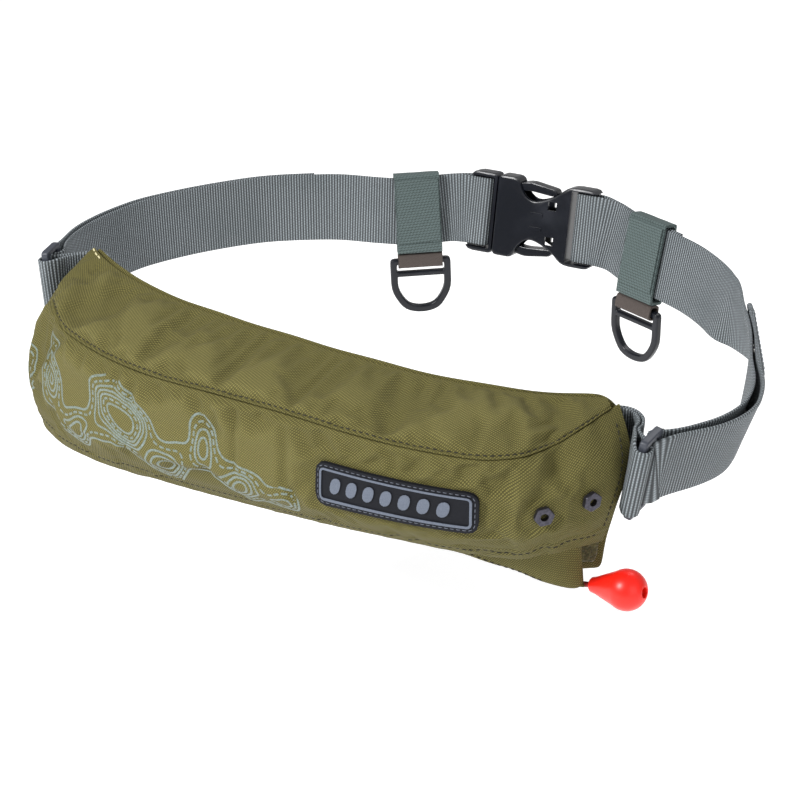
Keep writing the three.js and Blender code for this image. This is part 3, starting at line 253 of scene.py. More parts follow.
def pouch_point(share, down, depth, side=0.0):
    """A point from its share along, its share down and its depth square to the pouch's back edge."""
    slope = BOW_POWER * PACK_BOW * np.sign(share) * abs(share) ** (BOW_POWER - 1)
    forward = unit(np.array([slope, -PACK_HALF_LENGTH, 0.0]))
    edge = PACK_BACK_Y - PACK_BOW * (1 - abs(share) ** BOW_POWER)
    base = np.array([PACK_HALF_LENGTH * (share + side), edge, PACK_TOP_Z - PACK_HEIGHT * down])
    return base + forward * depth


def section(share, places):
    """Points on the pouch's outer line at one share: top edge, crown, seam, upper and lower front, hem."""
    seam_down, seam, upper, lower, hem_down, hem = (
        column(SECTIONS, SECTION_COLUMNS, name, share) for name in SECTION_COLUMNS[1:])
    up = column(END_SIDES, END_COLUMNS, "up", share)
    low = column(END_SIDES, END_COLUMNS, "low", share)
    d = PACK_DEPTH
    crown = (SEAM_GAP + 0.8 + max(seam * d, 1.6)) / 2
    knots = np.array([
        pouch_point(share, 0, SEAM_GAP + 0.9),
        pouch_point(share, seam_down * 0.28, crown, up * 0.1),
        pouch_point(share, seam_down, seam * d, up * 0.3),
        pouch_point(share, seam_down + (hem_down - seam_down) * 0.3, upper * d, up),
        pouch_point(share, seam_down + (hem_down - seam_down) * 0.68, lower * d, (up + low) / 2),
        pouch_point(share, hem_down, hem * d, low),
    ])
    knots = np.vstack([2 * knots[0] - knots[1], knots, 2 * knots[-1] - knots[-2]])
    along = np.clip(places, 0, 1) * (len(knots) - 3)
    k = np.minimum(along.astype(int), len(knots) - 4)
    w = (along - k)[:, None]
    return curve(*(knots[k + i] for i in range(4)), w)


def grid_normals(points):
    """Outward unit normals of a grid of points that runs along the pouch and down its section."""
    along = np.gradient(points, axis=0)
    down = np.gradient(points, axis=1)
    return unit(np.cross(down, along))


def resample(values, at):
    """A table of values at fractional places along its first axis, on a smooth curve through them."""
    last = len(values) - 1
    k = np.clip(at.astype(int), 0, last - 1)
    w = (at - k).reshape((-1,) + (1,) * (values.ndim - 1))
    before, after = values[np.maximum(k - 1, 0)], values[np.minimum(k + 2, last)]
    return curve(before, values[k], values[k + 1], after, w)


def waves(points, length, count, seed):
    """Smooth random relief from -1 to 1 at points, with features about length across."""
    rng = np.random.default_rng(seed)
    directions = unit(rng.normal(size=(count, 3)))
    scales = length * rng.uniform(0.7, 1.5, count)
    phases = rng.uniform(0, 2 * np.pi, count)
    total = sum(np.sin(points @ d * (2 * np.pi / s) + p) for d, s, p in zip(directions, scales, phases))
    return total / math.sqrt(count)


def new_object(name, data):
    """A new object in the scene."""
    made = bpy.data.objects.new(name, data)
    bpy.context.scene.collection.objects.link(made)
    return made


def new_mesh(name, points, faces):
    """A mesh from points in millimetres."""
    mesh = bpy.data.meshes.new(name)
    mesh.from_pydata((np.asarray(points) * MM).tolist(), [], faces)
    return mesh


def read_vectors(points, name):
    """A named vector of each point of a mesh."""
    values = np.zeros(len(points) * 3)
    points.foreach_get(name, values)
    return values.reshape(-1, 3)


def set_lay(mesh, lay):
    """Gives each point its place in the weave, in millimetres, and a third value: on the pouch's cloth how
    far it is made lighter where it stands out, on the badge its relief.
    """
    layer = mesh.attributes.new("lay", "FLOAT_VECTOR", "POINT")
    layer.data.foreach_set("vector", np.asarray(lay, np.float32).ravel())


def shade_smooth(mesh):
    mesh.polygons.foreach_set("use_smooth", [True] * len(mesh.polygons))


def make_piece(mesh, material, lay=None, smooth_shading=True, sharp=None):
    """A piece of the belt pack from a mesh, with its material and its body. Its edges stay sharp
    where its faces meet at more than sharp degrees."""
    if lay is not None:
        set_lay(mesh, lay)
    if smooth_shading:
        shade_smooth(mesh)
    if sharp:
        mesh.set_sharp_from_angle(angle=math.radians(sharp))
    made = new_object(mesh.name, mesh)
    mesh.materials.append(material)
    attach(made, BODY)
    return made


def closed_sheet(outer, inner):
    """Faces of the closed wall between two grids of points, and its points."""
    rows, columns = outer.shape[:2]
    points = np.concatenate([outer.reshape(-1, 3), inner.reshape(-1, 3)])
    index = np.arange(rows * columns).reshape(rows, columns)
    a, b, c, d = index[:-1, :-1], index[1:, :-1], index[1:, 1:], index[:-1, 1:]
    front = np.stack([a, b, c, d], -1).reshape(-1, 4)
    back = front[:, ::-1] + rows * columns
    rim = np.concatenate([index[:-1, 0], index[-1, :-1], index[:0:-1, -1], index[0, :0:-1]])
    after = np.roll(rim, -1)
    side = np.stack([rim, rim + rows * columns, after + rows * columns, after], -1)
    faces = np.concatenate([front, back, side])
    if signed_volume(points, faces) < 0:
        faces = faces[:, ::-1]
    return points, faces


def signed_volume(points, faces):
    a, b, c, d = (points[faces[:, k]] for k in range(4))
    return float((a * np.cross(b, c)).sum() + (a * np.cross(c, d)).sum()) / 6


# Materials
class Shader:
    """A material's node tree, with one short call for each kind of node."""

    def __init__(self, name, roughness=0.8, **surface):
        self.material = bpy.data.materials.new(name)
        self.material.use_nodes = True
        self.tree = self.material.node_tree
        self.surface = self.tree.nodes["Principled BSDF"]
        self.surface.inputs["Roughness"].default_value = roughness
        for socket, value in surface.items():
            self.surface.inputs[socket.replace("_", " ")].default_value = value

    def put(self, socket, value):
        if isinstance(value, bpy.types.NodeSocket):
            self.tree.links.new(value, socket)
        elif isinstance(value, (tuple, list)) and len(value) == 3 and socket.type == "RGBA":
            socket.default_value = (*value, 1.0)
        else:
            socket.default_value = value

    def node(self, kind, output=0, settings=None, **inputs):
        made = self.tree.nodes.new(kind)
        for key, value in (settings or {}).items():
            setattr(made, key, value)
        for key, value in inputs.items():
            self.put(made.inputs[key.replace("_", " ")], value)
        return made.outputs[output]

    def math(self, operation, *values):
        made = self.tree.nodes.new("ShaderNodeMath")
        made.operation = operation
        for k, value in enumerate(values):
            self.put(made.inputs[k], value)
        return made.outputs[0]

    def mix(self, share, low, high):
        made = self.tree.nodes.new("ShaderNodeMix")
        made.data_type = "RGBA"
        self.put(made.inputs[0], share)
        self.put(made.inputs[6], low)
        self.put(made.inputs[7], high)
        return made.outputs[2]

    def ramp(self, value, low, high):
        """0 where value is at most low, 1 where it is at least high."""
        made = self.tree.nodes.new("ShaderNodeMapRange")
        made.interpolation_type = "SMOOTHSTEP"
        self.put(made.inputs[0], value)
        made.inputs[1].default_value = low
        made.inputs[2].default_value = high
        return made.outputs[0]

    def lay(self):
        """A piece's two weave coordinates, in millimetres, and its third value, which is the lightening
        where the cloth stands out, and the relief on the badge.
        """
        place = self.node("ShaderNodeAttribute", "Vector", {"attribute_name": "lay"})
        parts = self.tree.nodes.new("ShaderNodeSeparateXYZ")
        self.put(parts.inputs[0], place)
        return parts.outputs[0], parts.outputs[1], parts.outputs[2]

    def noise(self, scale, detail=3.0):
        """Noise at features per metre, in the object's own space."""
        place = self.node("ShaderNodeTexCoord", "Object")
        return self.node("ShaderNodeTexNoise", "Fac", Vector=place, Scale=scale, Detail=detail)

    def cells(self, scale):
        """Round cells at features per metre: 0 in the middle of each, more towards its edge."""
        place = self.node("ShaderNodeTexCoord", "Object")
        return self.node("ShaderNodeTexVoronoi", "Distance", Vector=place, Scale=scale)

    def wave(self, value, length, shift=0.0):
        """A cosine of value with that wavelength, from 0 to 1."""
        turns = self.math("MULTIPLY", value, 2 * math.pi / length)
        cosine = self.math("COSINE", self.math("ADD", turns, shift))
        return self.math("MULTIPLY_ADD", cosine, 0.5, 0.5)

    def finish(self, color, height=None, depth=0.1, roughness=None):
        """Sets the colour and, from a height of 0 to 1 over depth millimetres, the bump."""
        self.put(self.surface.inputs["Base Color"], color)
        if roughness is not None:
            self.put(self.surface.inputs["Roughness"], roughness)
        if height is not None:
            bump = self.node("ShaderNodeBump", Height=height, Distance=depth * MM, Strength=1.0)
            self.put(self.surface.inputs["Normal"], bump)
        return self.material


def linear(red, green, blue):
    """A colour given as 0 to 255 on the screen, as Blender's linear values."""
    shares = np.array([red, green, blue]) / 255
    bright = ((shares + 0.055) / 1.055) ** 2.4
    return tuple(float(x) for x in np.where(shares <= 0.04045, shares / 12.92, bright))


def pouch_cloth():
    """Olive nylon twill: fine diagonal ribs, cloudy darker patches, and lighter where the cloth stands out.
    """
    s = Shader("olive_twill", 0.85, Specular_IOR_Level=0.3)
    u, v, standing_out = s.lay()
    wobble = s.math("MULTIPLY", s.noise(420.0, 2.0), 0.5)
    diagonal = s.math("ADD", s.math("ADD", u, s.math("MULTIPLY", v, 0.8)), wobble)
    ribs = s.wave(diagonal, 1.2)
    yarns = s.wave(s.math("SUBTRACT", s.math("MULTIPLY", u, 0.35), v), 1.25)
    weave = s.math("MULTIPLY_ADD", s.math("MULTIPLY", ribs, yarns), 0.8, s.math("MULTIPLY", ribs, 0.2))
    speck = s.noise(1400.0, 2.0)
    cloud = s.noise(26.0, 4.0)
    shade = s.math("MULTIPLY_ADD", weave, 0.85, s.math("MULTIPLY", speck, 0.3))
    color = s.mix(shade, linear(28, 26, 6), linear(128, 121, 66))
    color = s.mix(s.math("MULTIPLY", s.ramp(cloud, 0.35, 0.7), 0.2), color, linear(84, 79, 38))
    # Lighter towards pale olive where the cloth stands out from the plain pouch.
    color = s.mix(s.math("MULTIPLY", standing_out, 0.1), color, linear(150, 143, 90))
    relief = s.math("MULTIPLY_ADD", weave, 0.8, s.math("MULTIPLY", speck, 0.5))
    return s.finish(color, relief, 0.22)


def webbing():
    """Blue-grey webbing: ribs across the belt made of short light stitches between dark gaps."""
    s = Shader("blue_grey_webbing", 0.65, Specular_IOR_Level=0.3)
    u, v, _ = s.lay()
    across = s.math("DIVIDE", u, 1.5)
    rib = s.math("FLOOR", across)
    place = s.math("FRACT", across)
    ridge = s.math("POWER", s.math("SINE", s.math("MULTIPLY", place, math.pi)), 3.4)
    stitch = s.wave(v, 1.5, s.math("MULTIPLY", rib, math.pi))
    stitches = s.math("MULTIPLY_ADD", stitch, 0.45, 0.55)
    weave = s.math("MULTIPLY", ridge, stitches)
    fibre = s.noise(2200.0, 2.0)
    cloud = s.noise(30.0, 3.0)
    shade = s.math("MULTIPLY_ADD", fibre, 0.25, s.math("MULTIPLY", weave, 0.95))
    color = s.mix(shade, linear(0, 0, 1), linear(156, 164, 169))
    color = s.mix(s.math("MULTIPLY", s.ramp(cloud, 0.4, 0.75), 0.25), color, linear(62, 72, 74))
    return s.finish(color, s.math("MULTIPLY_ADD", fibre, 0.15, weave), 0.4)


def keeper_tape():
    """Teal-grey hook-and-loop tape: fine rows of dark dots along the belt."""
    s = Shader("teal_tape", 0.95)
    u, v, _ = s.lay()
    row = s.math("DIVIDE", v, 1.5)
    shift = s.math("MULTIPLY", s.math("FLOOR", row), 2.3)
    rows = s.wave(v, 1.5)
    dots = s.wave(u, 1.9, shift)
    weave = s.math("SUBTRACT", 1.0, s.math("MULTIPLY", rows, dots))
    fuzz = s.noise(1500.0, 4.0)
    shade = s.math("MULTIPLY_ADD", weave, 0.6, s.math("MULTIPLY", fuzz, 0.5))
    color = s.mix(shade, linear(6, 10, 11), linear(92, 106, 105))
    return s.finish(color, s.math("MULTIPLY_ADD", fuzz, 0.7, weave), 0.2)


def ring_tape():
    """Brown-grey woven tape with a fine diagonal weave."""
    s = Shader("brown_grey_tape", 0.85)
    u, v, _ = s.lay()
    ribs = s.wave(s.math("ADD", u, v), 0.9)
    fuzz = s.noise(1800.0, 3.0)
    shade = s.math("MULTIPLY_ADD", ribs, 0.5, s.math("MULTIPLY", fuzz, 0.5))
    return s.finish(s.mix(shade, linear(38, 33, 31), linear(92, 82, 77)), shade, 0.15)


def moulded_plastic(name, dark, light, roughness):
    """Moulded plastic: fine spark-eroded grain and rubbed patches."""
    s = Shader(name, roughness, Specular_IOR_Level=0.35)
    grain_noise = s.noise(2600.0, 2.0)
    rub = s.ramp(s.noise(45.0, 4.0), 0.45, 0.75)
    color = s.mix(s.math("MULTIPLY_ADD", grain_noise, 0.4, s.math("MULTIPLY", rub, 0.3)), dark, light)
    rough = s.math("MULTIPLY_ADD", rub, 0.12, roughness - 0.04)
    return s.finish(color, grain_noise, 0.03, rough)


def badge_rubber():
    """Black rubber whose raised rim and bars are filled with grey; the third coordinate is the relief."""
    s = Shader("badge_rubber", 0.7, Specular_IOR_Level=0.2)
    _, _, relief = s.lay()
    grain = s.noise(1500.0, 3.0)
    raised = s.ramp(relief, 0.32, 0.5)
    black = s.mix(grain, linear(10, 11, 16), linear(22, 24, 31))
    grey = s.mix(grain, linear(78, 84, 96), linear(108, 115, 128))
    return s.finish(s.mix(raised, black, grey), grain, 0.05)


def pile():
    """Dark olive looped pile of the closure strips."""
    s = Shader("olive_pile", 1.0, Sheen_Weight=0.4)
    loops = s.cells(900.0)
    fuzz = s.noise(1300.0, 5.0)
    shade = s.math("MULTIPLY_ADD", loops, 0.7, s.math("MULTIPLY", fuzz, 0.5))
    return s.finish(s.mix(shade, linear(28, 27, 14), linear(96, 93, 55)), shade, 0.5)


def fastener_metal():
    """Dark nickel-plated steel, brushed, with fine random lighter and darker marks."""
    s = Shader("gun_metal", 0.3, Metallic=0.85)
    scratch = s.noise(900.0, 5.0)
    color = s.mix(scratch, linear(30, 30, 36), linear(92, 90, 100))
    return s.finish(color, scratch, 0.02)


def knob_plastic():
    """Satin red plastic with a faint moulded mottle."""
    s = Shader("red_plastic", 0.36, Specular_IOR_Level=0.4)
    mottle = s.noise(70.0, 4.0)
    grain = s.noise(2000.0, 2.0)
    return s.finish(s.mix(mottle, linear(232, 20, 10), linear(246, 36, 22)), grain, 0.015)


def thread(name, dark, light):
    """Twisted sewing thread."""
    s = Shader(name, 0.75)
    twist = s.noise(3000.0, 2.0)
    return s.finish(s.mix(twist, dark, light), twist, 0.05)


def cord_fibre():
    """Red braided cord: crossing strands round it."""
    s = Shader("red_braid", 0.8)
    strands = s.cells(1100.0)
    return s.finish(s.mix(strands, linear(168, 34, 26), linear(80, 12, 10)), strands, 0.2)


def printed_film():
    """Pale blue-grey transfer print, a little broken by the weave under it."""
    s = Shader("contour_print", 0.6)
    worn = s.noise(1500.0, 3.0)
    color = s.mix(s.ramp(worn, 0.3, 0.7), linear(118, 131, 129), linear(88, 97, 78))
    return s.finish(color, worn, 0.06)


OLIVE = pouch_cloth()
WEBBING = webbing()
KEEPER_TAPE = keeper_tape()
RING_TAPE = ring_tape()
BLACK_PLASTIC = moulded_plastic("black_plastic", linear(8, 10, 16), linear(27, 31, 42), 0.32)
SLIDER_PLASTIC = moulded_plastic("slider_plastic", linear(52, 55, 63), linear(78, 82, 92), 0.45)
BADGE = badge_rubber()
PILE = pile()
METAL = fastener_metal()
RED = knob_plastic()
CORD = cord_fibre()
DARK_THREAD = thread("dark_thread", linear(14, 13, 5), linear(42, 39, 18))
GREY_THREAD = thread("grey_thread", linear(60, 64, 74), linear(110, 115, 126))
PALE_THREAD = thread("pale_thread", linear(120, 128, 136), linear(190, 196, 200))
CREAM_THREAD = thread("cream_thread", linear(170, 160, 112), linear(232, 224, 182))
PRINT = printed_film()


# The pouch's cloth
# The pouch's skin is worked out on one master grid. The simulation takes every second row and column of it.
MASTER_ALONG = 220
MASTER_DOWN = 100
SIM_SKIP = 2
SIM_FRAMES = 20
SIM_SETTINGS = {
    "vertex_group_mass": "held",
    "quality": 6,
    "mass": 0.3,
    "tension_stiffness": 12,
    "compression_stiffness": 12,
    "shear_stiffness": 6,
    "bending_stiffness": 0.15,
    "shrink_min": -0.05,
    "use_pressure": True,
    "uniform_pressure_force": 1.5,
}
# How far the simulated cloth may sink and stand out, how much of it and of the creases is used, and how far
# the whole relief may go: first on most of the skin, then near the hem, which starts at HEM_FROM.
PUFF_LIMITS = (-2.2, 2.6)
PUFF_SHARE = 1.15
CREASE_SHARE = 1.6
RELIEF_LIMITS = (-3.0, 3.2)
HEM_LIMITS = (-0.5, 0.6)
HEM_FROM = 0.76
master_shares = lengthwise(-1, 1, MASTER_ALONG)
master_places = np.linspace(0, 1, MASTER_DOWN + 1)
base = np.array([section(share, master_places) for share in master_shares])
base_normals = grid_normals(base)


def badge_place(a, b):
    """The share and place on the section of a point a along and b down the badge, in millimetres."""
    return BADGE_FROM + a / PACK_HALF_LENGTH / BADGE_STRETCH, BADGE_AT + b / FRONT_LENGTH


def flat_spots(shares, places):
    """1 under the badge and the two fasteners, where the cloth stays flat, 0 away from them."""
    (a0, b0), (a1, b1) = badge_place(0, 0), badge_place(BADGE_LENGTH, BADGE_HEIGHT)
    s, t = shares[:, None], places[None, :]
    out_s = np.maximum(np.maximum(a0 - s, s - a1), 0) / 0.03
    out_t = np.maximum(np.maximum(b0 - t, t - b1), 0) / 0.045
    spots = 1 - smooth(np.hypot(out_s, out_t))
    for share, place in HEX_PLACES:
        away = np.hypot((s - share) / 0.045, (t - place) / 0.075)
        spots = np.maximum(spots, 1 - smooth((away - 0.6) / 0.6))
    return spots


def crease_relief(shares, places):
    """The relief of the creases, in millimetres."""
    total = np.zeros((len(shares), len(places)))
    s, t = shares[:, None], places[None, :]
    for (s0, t0), (s1, t1), high, wide in CREASES:
        ds, dt = s1 - s0, (t1 - t0) * 0.6
        ps, pt = s - s0, (t - t0) * 0.6
        along = (ps * ds + pt * dt) / (ds * ds + dt * dt)
        off = (ps * dt - pt * ds) / math.hypot(ds, dt)
        total += high * bell(off, wide) * np.exp(-(((along - 0.5) / 0.5) ** 4))
    return total


def simulate_cloth():
    """The pouch's skin as a cloth a little larger than its seams, held at them and pushed out by what it
    holds. Returns how far each point moved out, in millimetres, on the coarse grid."""
    rows, columns = base[::SIM_SKIP, ::SIM_SKIP].shape[:2]
    places = master_places[::SIM_SKIP]
    shares = master_shares[::SIM_SKIP]
    points = base[::SIM_SKIP, ::SIM_SKIP].reshape(-1, 3)
    index = np.arange(rows * columns).reshape(rows, columns)
    faces = np.stack([index[:-1, :-1], index[:-1, 1:], index[1:, 1:], index[1:, :-1]], -1).reshape(-1, 4)
    skin = new_object("sim_skin", new_mesh("sim_skin", points, faces.tolist()))
    hold = flat_spots(shares, places)
    hold[:, 0] = hold[:, -1] = hold[:, int(round(SEAM_AT * (columns - 1)))] = 1
    hold[0, :] = hold[-1, :] = 1
    group = skin.vertex_groups.new(name="held")
    for k, weight in enumerate(hold.ravel()):
        if weight > 0.01:
            group.add([k], float(weight), "REPLACE")
    cloth = skin.modifiers.new("Cloth", "CLOTH")
    for name, value in SIM_SETTINGS.items():
        setattr(cloth.settings, name, value)
    cloth.settings.effector_weights.gravity = 0
    cloth.collision_settings.use_collision = False
    cloth.point_cache.frame_start, cloth.point_cache.frame_end = 1, SIM_FRAMES
    for step in range(1, SIM_FRAMES + 1):
        bpy.context.scene.frame_set(step)
    settled = skin.evaluated_get(bpy.context.evaluated_depsgraph_get())
    moved = (read_vectors(settled.data.vertices, "co") / MM - points).reshape(rows, columns, 3)
    out = (moved * base_normals[::SIM_SKIP, ::SIM_SKIP]).sum(-1)
    bpy.data.objects.remove(skin)
    bpy.context.scene.frame_set(1)
    return np.clip(out, *PUFF_LIMITS)


coarse_along = np.arange(MASTER_ALONG + 1) / SIM_SKIP
coarse_down = np.arange(MASTER_DOWN + 1) / SIM_SKIP
rough = simulate_cloth()
puff = resample(resample(rough, coarse_along).T, coarse_down).T


def edge_ease(places):
    """0 at the pouch's top edge, seam and hem, 1 away from them."""
    return smooth(np.minimum(np.minimum(places, 1 - places), np.abs(places - SEAM_AT)) / 0.05)


def skin_relief():
    """How far the cloth stands off the plain pouch, in millimetres, on the master grid."""
    fine = waves(base, 34, 16, SEED + 1) * 0.35 + waves(base, 13, 18, SEED + 2) * 0.16
    relief = puff * PUFF_SHARE + crease_relief(master_shares, master_places) * CREASE_SHARE + fine
    ends = smooth((1 - np.abs(master_shares)) / 0.16)
    relief = relief * edge_ease(master_places)[None, :] * ends[:, None]
    relief = np.clip(relief, *RELIEF_LIMITS)
    low = smooth((master_places - HEM_FROM) / 0.1)[None, :]
    relief = relief * (1 - low) + np.clip(relief, *HEM_LIMITS) * low
    return relief * (1 - flat_spots(master_shares, master_places))


relief = skin_relief()
skin = base + base_normals * relief[..., None]
skin_normals = grid_normals(skin)
master_run = run_of(base[:, int(0.6 * MASTER_DOWN)])
master_drop = np.concatenate([
    np.zeros((MASTER_ALONG + 1, 1)),
    np.cumsum(np.linalg.norm(np.diff(base, axis=1), axis=-1), axis=1)], axis=1)


def master_at(table, shares, places):
    """A master-grid table at matching lists of shares and places."""
    i = np.interp(shares, master_shares, np.arange(MASTER_ALONG + 1))
    j = np.clip(places, 0, 1) * MASTER_DOWN
    i0 = np.clip(i.astype(int), 0, MASTER_ALONG - 1)
    j0 = np.clip(j.astype(int), 0, MASTER_DOWN - 1)
    shape = (-1,) + (1,) * (table.ndim - 2)
    wi, wj = (i - i0).reshape(shape), (j - j0).reshape(shape)
    near = table[i0, j0] * (1 - wj) + table[i0, j0 + 1] * wj
    far = table[i0 + 1, j0] * (1 - wj) + table[i0 + 1, j0 + 1] * wj
    return near * (1 - wi) + far * wi


def panel(name, node, shares, places, profile):
    """A cloth panel over part of the pouch's skin. profile gives its extra height at each place."""
    s, t = (g.ravel() for g in np.meshgrid(shares, places, indexing="ij"))
    size = (len(shares), len(places))
    points = master_at(skin, s, t).reshape(*size, 3)
    normals = unit(master_at(skin_normals, s, t)).reshape(*size, 3)
    extra = profile(s, t).reshape(size)
    outer = points + normals * extra[..., None]
    inner = points - normals * CLOTH
    points, faces = closed_sheet(outer, inner)
    run, drop = np.interp(s, master_shares, master_run), master_at(master_drop, s, t)
    bent = master_at(relief, s, t)
    # How far the cloth is made lighter: the square of how far it stands out, up to 2.5 mm.
    standing_out = np.clip(bent / 2.5, 0, 1) ** 2
    lay = np.stack([run, drop, standing_out], -1)
    mesh = new_mesh(name, points, faces.tolist())
    mesh.validate()
    made = make_piece(mesh, OLIVE, np.concatenate([lay, lay]), sharp=50)
    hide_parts(node)
    plain = master_at(base, s, t).reshape(*size, 3)
    width = np.linalg.norm(np.diff(plain, axis=1), axis=-1).sum(1).max() * MM
    length = np.linalg.norm(np.diff(plain, axis=0), axis=-1).sum(0).max() * MM
    area = np.linalg.norm(np.cross(
        np.diff(plain, axis=0)[:, :-1], np.diff(plain, axis=1)[:-1]), axis=-1).sum() * MM * MM
    return made, (width, length), area


# SEAM_HALF is half the gap between the two panels, on the section. SEAM_SPAN and HEM_SPAN are what a whole
# section counts as beside the seam and at the hem. The rest is in millimetres, but GATHER_TURNS is in
# radians for each half length.
SEAM_HALF = 0.0012
SEAM_SPAN = 150.0
SEAM_RIDGE = 0.6
SEAM_STITCH = 2.9
HEM_SPAN = 110.0
HEM_STITCH = 8.0
HEM_BAND = 10.5
GROOVE_DEPTH = 0.35
GATHER = 0.18
GATHER_TURNS = 190


def seam_profile(s, t):
    """The folded cloth stands up beside the seam and dips where it is stitched."""
    off = (SEAM_AT - t) * SEAM_SPAN
    ridge = bell(off - 1.1, 0.9) * SEAM_RIDGE
    groove = -bell(off - SEAM_STITCH, 0.8) * GROOVE_DEPTH
    gather = GATHER * np.sin(s * GATHER_TURNS) * bell(off, 6)
    return ridge + groove + gather - 0.45 * bell(off, 0.4)


def front_profile(s, t):
    """Below the seam the panel tucks under it, and at the hem it is folded to a stitched band."""
    below = (t - SEAM_AT) * SEAM_SPAN
    tuck = -0.5 * bell(below, 0.6) + GATHER * np.sin(s * GATHER_TURNS + 0.6) * bell(below, 6)
    up = (1 - t) * HEM_SPAN
    band = 0.45 * (1 - smooth((up - HEM_BAND) / 1.2))
    stitched = -GROOVE_DEPTH * bell(up - HEM_STITCH, 0.8)
    return tuck + band + stitched - 0.5 * bell(up, 0.5)


def spaced_places(start, end, count, tight_start, tight_end):
    """Places down the section, closer together near the edges that are sewn."""
    w = np.linspace(0, 1, count + 1)
    bend = w + tight_start * w * (1 - w) * (w - 1) + tight_end * w * (1 - w) * w
    return start + (end - start) * bend


top_places = spaced_places(0, SEAM_AT - SEAM_HALF, 64, 0.2, 0.8)
front_places = spaced_places(SEAM_AT + SEAM_HALF, 1, 84, 0.8, 0.7)
panel_shares = lengthwise(-TOP_PANEL_END, TOP_PANEL_END, 300)
top_panel, top_flat, top_area = panel("top_cloth", "top_panel", panel_shares, top_places, seam_profile)
front_panel, front_flat, front_area = panel(
    "front_cloth", "front_panel", lengthwise(-1, 1, 310), front_places, front_profile)


# Stitches
# A stitch is a bent tube. Each of its rings stands at a share of its length and has a share of its radius.
STITCH_SIDES = 6
STITCH_RINGS = ((-0.5, 0.25), (-0.42, 0.8), (-0.2, 1.0), (0.2, 1.0), (0.42, 0.8), (0.5, 0.25))


def rows_of_stitches(name, rows, material, length=2.3, gap=1.0, radius=0.28):
    """Stitches along rows, each a list of points and the normals of the cloth under them."""
    sides, rings = STITCH_SIDES, STITCH_RINGS
    points, faces = [], []
    for line, normals in rows:
        run = run_of(line)
        for middle in np.arange(length / 2, run[-1] - length / 2, length + gap):
            start, centre, end = (value_at(line, run, middle + k * length) for k in (-0.5, 0, 0.5))
            normal = unit(value_at(normals, run, middle))
            along = unit(end - start)
            across = np.cross(normal, along)
            first = len(points)
            for share, wide in rings:
                sink = radius * (1.1 * (2 * share) ** 2 - 0.35)
                ring_centre = centre + along * share * length - normal * sink
                for k in range(sides):
                    angle = 2 * math.pi * k / sides
                    turned = across * math.cos(angle) + normal * math.sin(angle)
                    points.append(ring_centre + radius * wide * turned)
            for r in range(len(rings) - 1):
                for k in range(sides):
                    a, b = first + r * sides + k, first + r * sides + (k + 1) % sides
                    faces.append((a, b, b + sides, a + sides))
            faces.append(tuple(first + k for k in reversed(range(sides))))
            faces.append(tuple(first + (len(rings) - 1) * sides + k for k in range(sides)))
    return make_piece(new_mesh(name, points, faces), material)


def skin_row(shares, places, lift):
    """A row of points on the pouch's skin, lifted off it."""
    normals = unit(master_at(skin_normals, shares, places))
    lifted = np.broadcast_to(lift, (len(shares),))[:, None]
    return master_at(skin, shares, places) + normals * lifted, normals


ROW_POINTS = 500
RIGHT_ROW_POINTS = 160
THREAD_LIFT = 0.1
THICK_THREAD = 0.32
seam_shares = np.linspace(-0.975, 0.965, ROW_POINTS)
seam_place = np.full(ROW_POINTS, SEAM_AT - SEAM_STITCH / SEAM_SPAN)
seam_row = skin_row(seam_shares, seam_place, seam_profile(seam_shares, seam_place) + THREAD_LIFT)
hem_shares = np.linspace(-0.97, 0.97, ROW_POINTS)
hem_place = np.full(ROW_POINTS, 1 - HEM_STITCH / HEM_SPAN)
hem_row = skin_row(hem_shares, hem_place, front_profile(hem_shares, hem_place) + THREAD_LIFT)
right_places = np.linspace(0.47, 0.9, RIGHT_ROW_POINTS)
right_row = skin_row(np.full(RIGHT_ROW_POINTS, 0.984), right_places, 0.12)
pouch_stitches = rows_of_stitches(
    "pouch_stitches", [seam_row, hem_row, right_row], DARK_THREAD, radius=THICK_THREAD)


# The contour print
def print_height(along, down):
    """The height of the printed land at a place on the front panel."""
    bent = along + 3.0 * np.sin(down / 7.5 + 1.0) + 1.6 * np.sin(along / 5.5 + down / 9.0)
    tall = down + 2.6 * np.sin(along / 9.0) + 1.3 * np.sin(along / 4.1 - down / 6.0)
    total = 0
    for a, d, wide, deep, high in HILLS:
        total = total + high * np.exp(-(((bent - a) / wide) ** 2 + ((tall - d) / deep) ** 2))
    return total


def level_lines(height, level):
    """Lines of one level through a grid of heights, as lists of points in grid steps."""
    above = height > level
    links = {}

    def crossing(p, q):
        share = (level - height[p]) / (height[q] - height[p])
        return p[0] + (q[0] - p[0]) * share, p[1] + (q[1] - p[1]) * share

    for i in range(height.shape[0] - 1):
        for j in range(height.shape[1] - 1):
            corners = ((i, j), (i + 1, j), (i + 1, j + 1), (i, j + 1))
            cut = []
            for k in range(4):
                p, q = corners[k], corners[(k + 1) % 4]
                if above[p] != above[q]:
                    cut.append((min(p, q), max(p, q)))
            for k in range(0, len(cut) - 1, 2):
                links.setdefault(cut[k], []).append(cut[k + 1])
                links.setdefault(cut[k + 1], []).append(cut[k])
    lines = []
    while links:
        ends = [edge for edge, others in links.items() if len(others) == 1]
        edge = ends[0] if ends else next(iter(links))
        line = [edge]
        while links.get(edge):
            after = links[edge].pop()
            links[after].remove(edge)
            if not links[edge]:
                del links[edge]
            edge = after
            line.append(edge)
        links.pop(edge, None)
        links = {e: others for e, others in links.items() if others}
        lines.append(np.array([crossing(*e) for e in line]))
    return lines


def evened(line):
    """A line with its corners rounded off and its points a step apart."""
    closed = np.allclose(line[0], line[-1])
    for _ in range(PRINT_ROUNDS):
        middle = (line[:-2] + 2 * line[1:-1] + line[2:]) / 4
        first = (line[-2] + 2 * line[0] + line[1]) / 4 if closed else line[0]
        line = np.vstack([first, middle, first if closed else line[-1]])
    run = run_of(line)
    return value_at(line, run, np.linspace(0, run[-1], max(3, int(run[-1] / PRINT_STEP))))


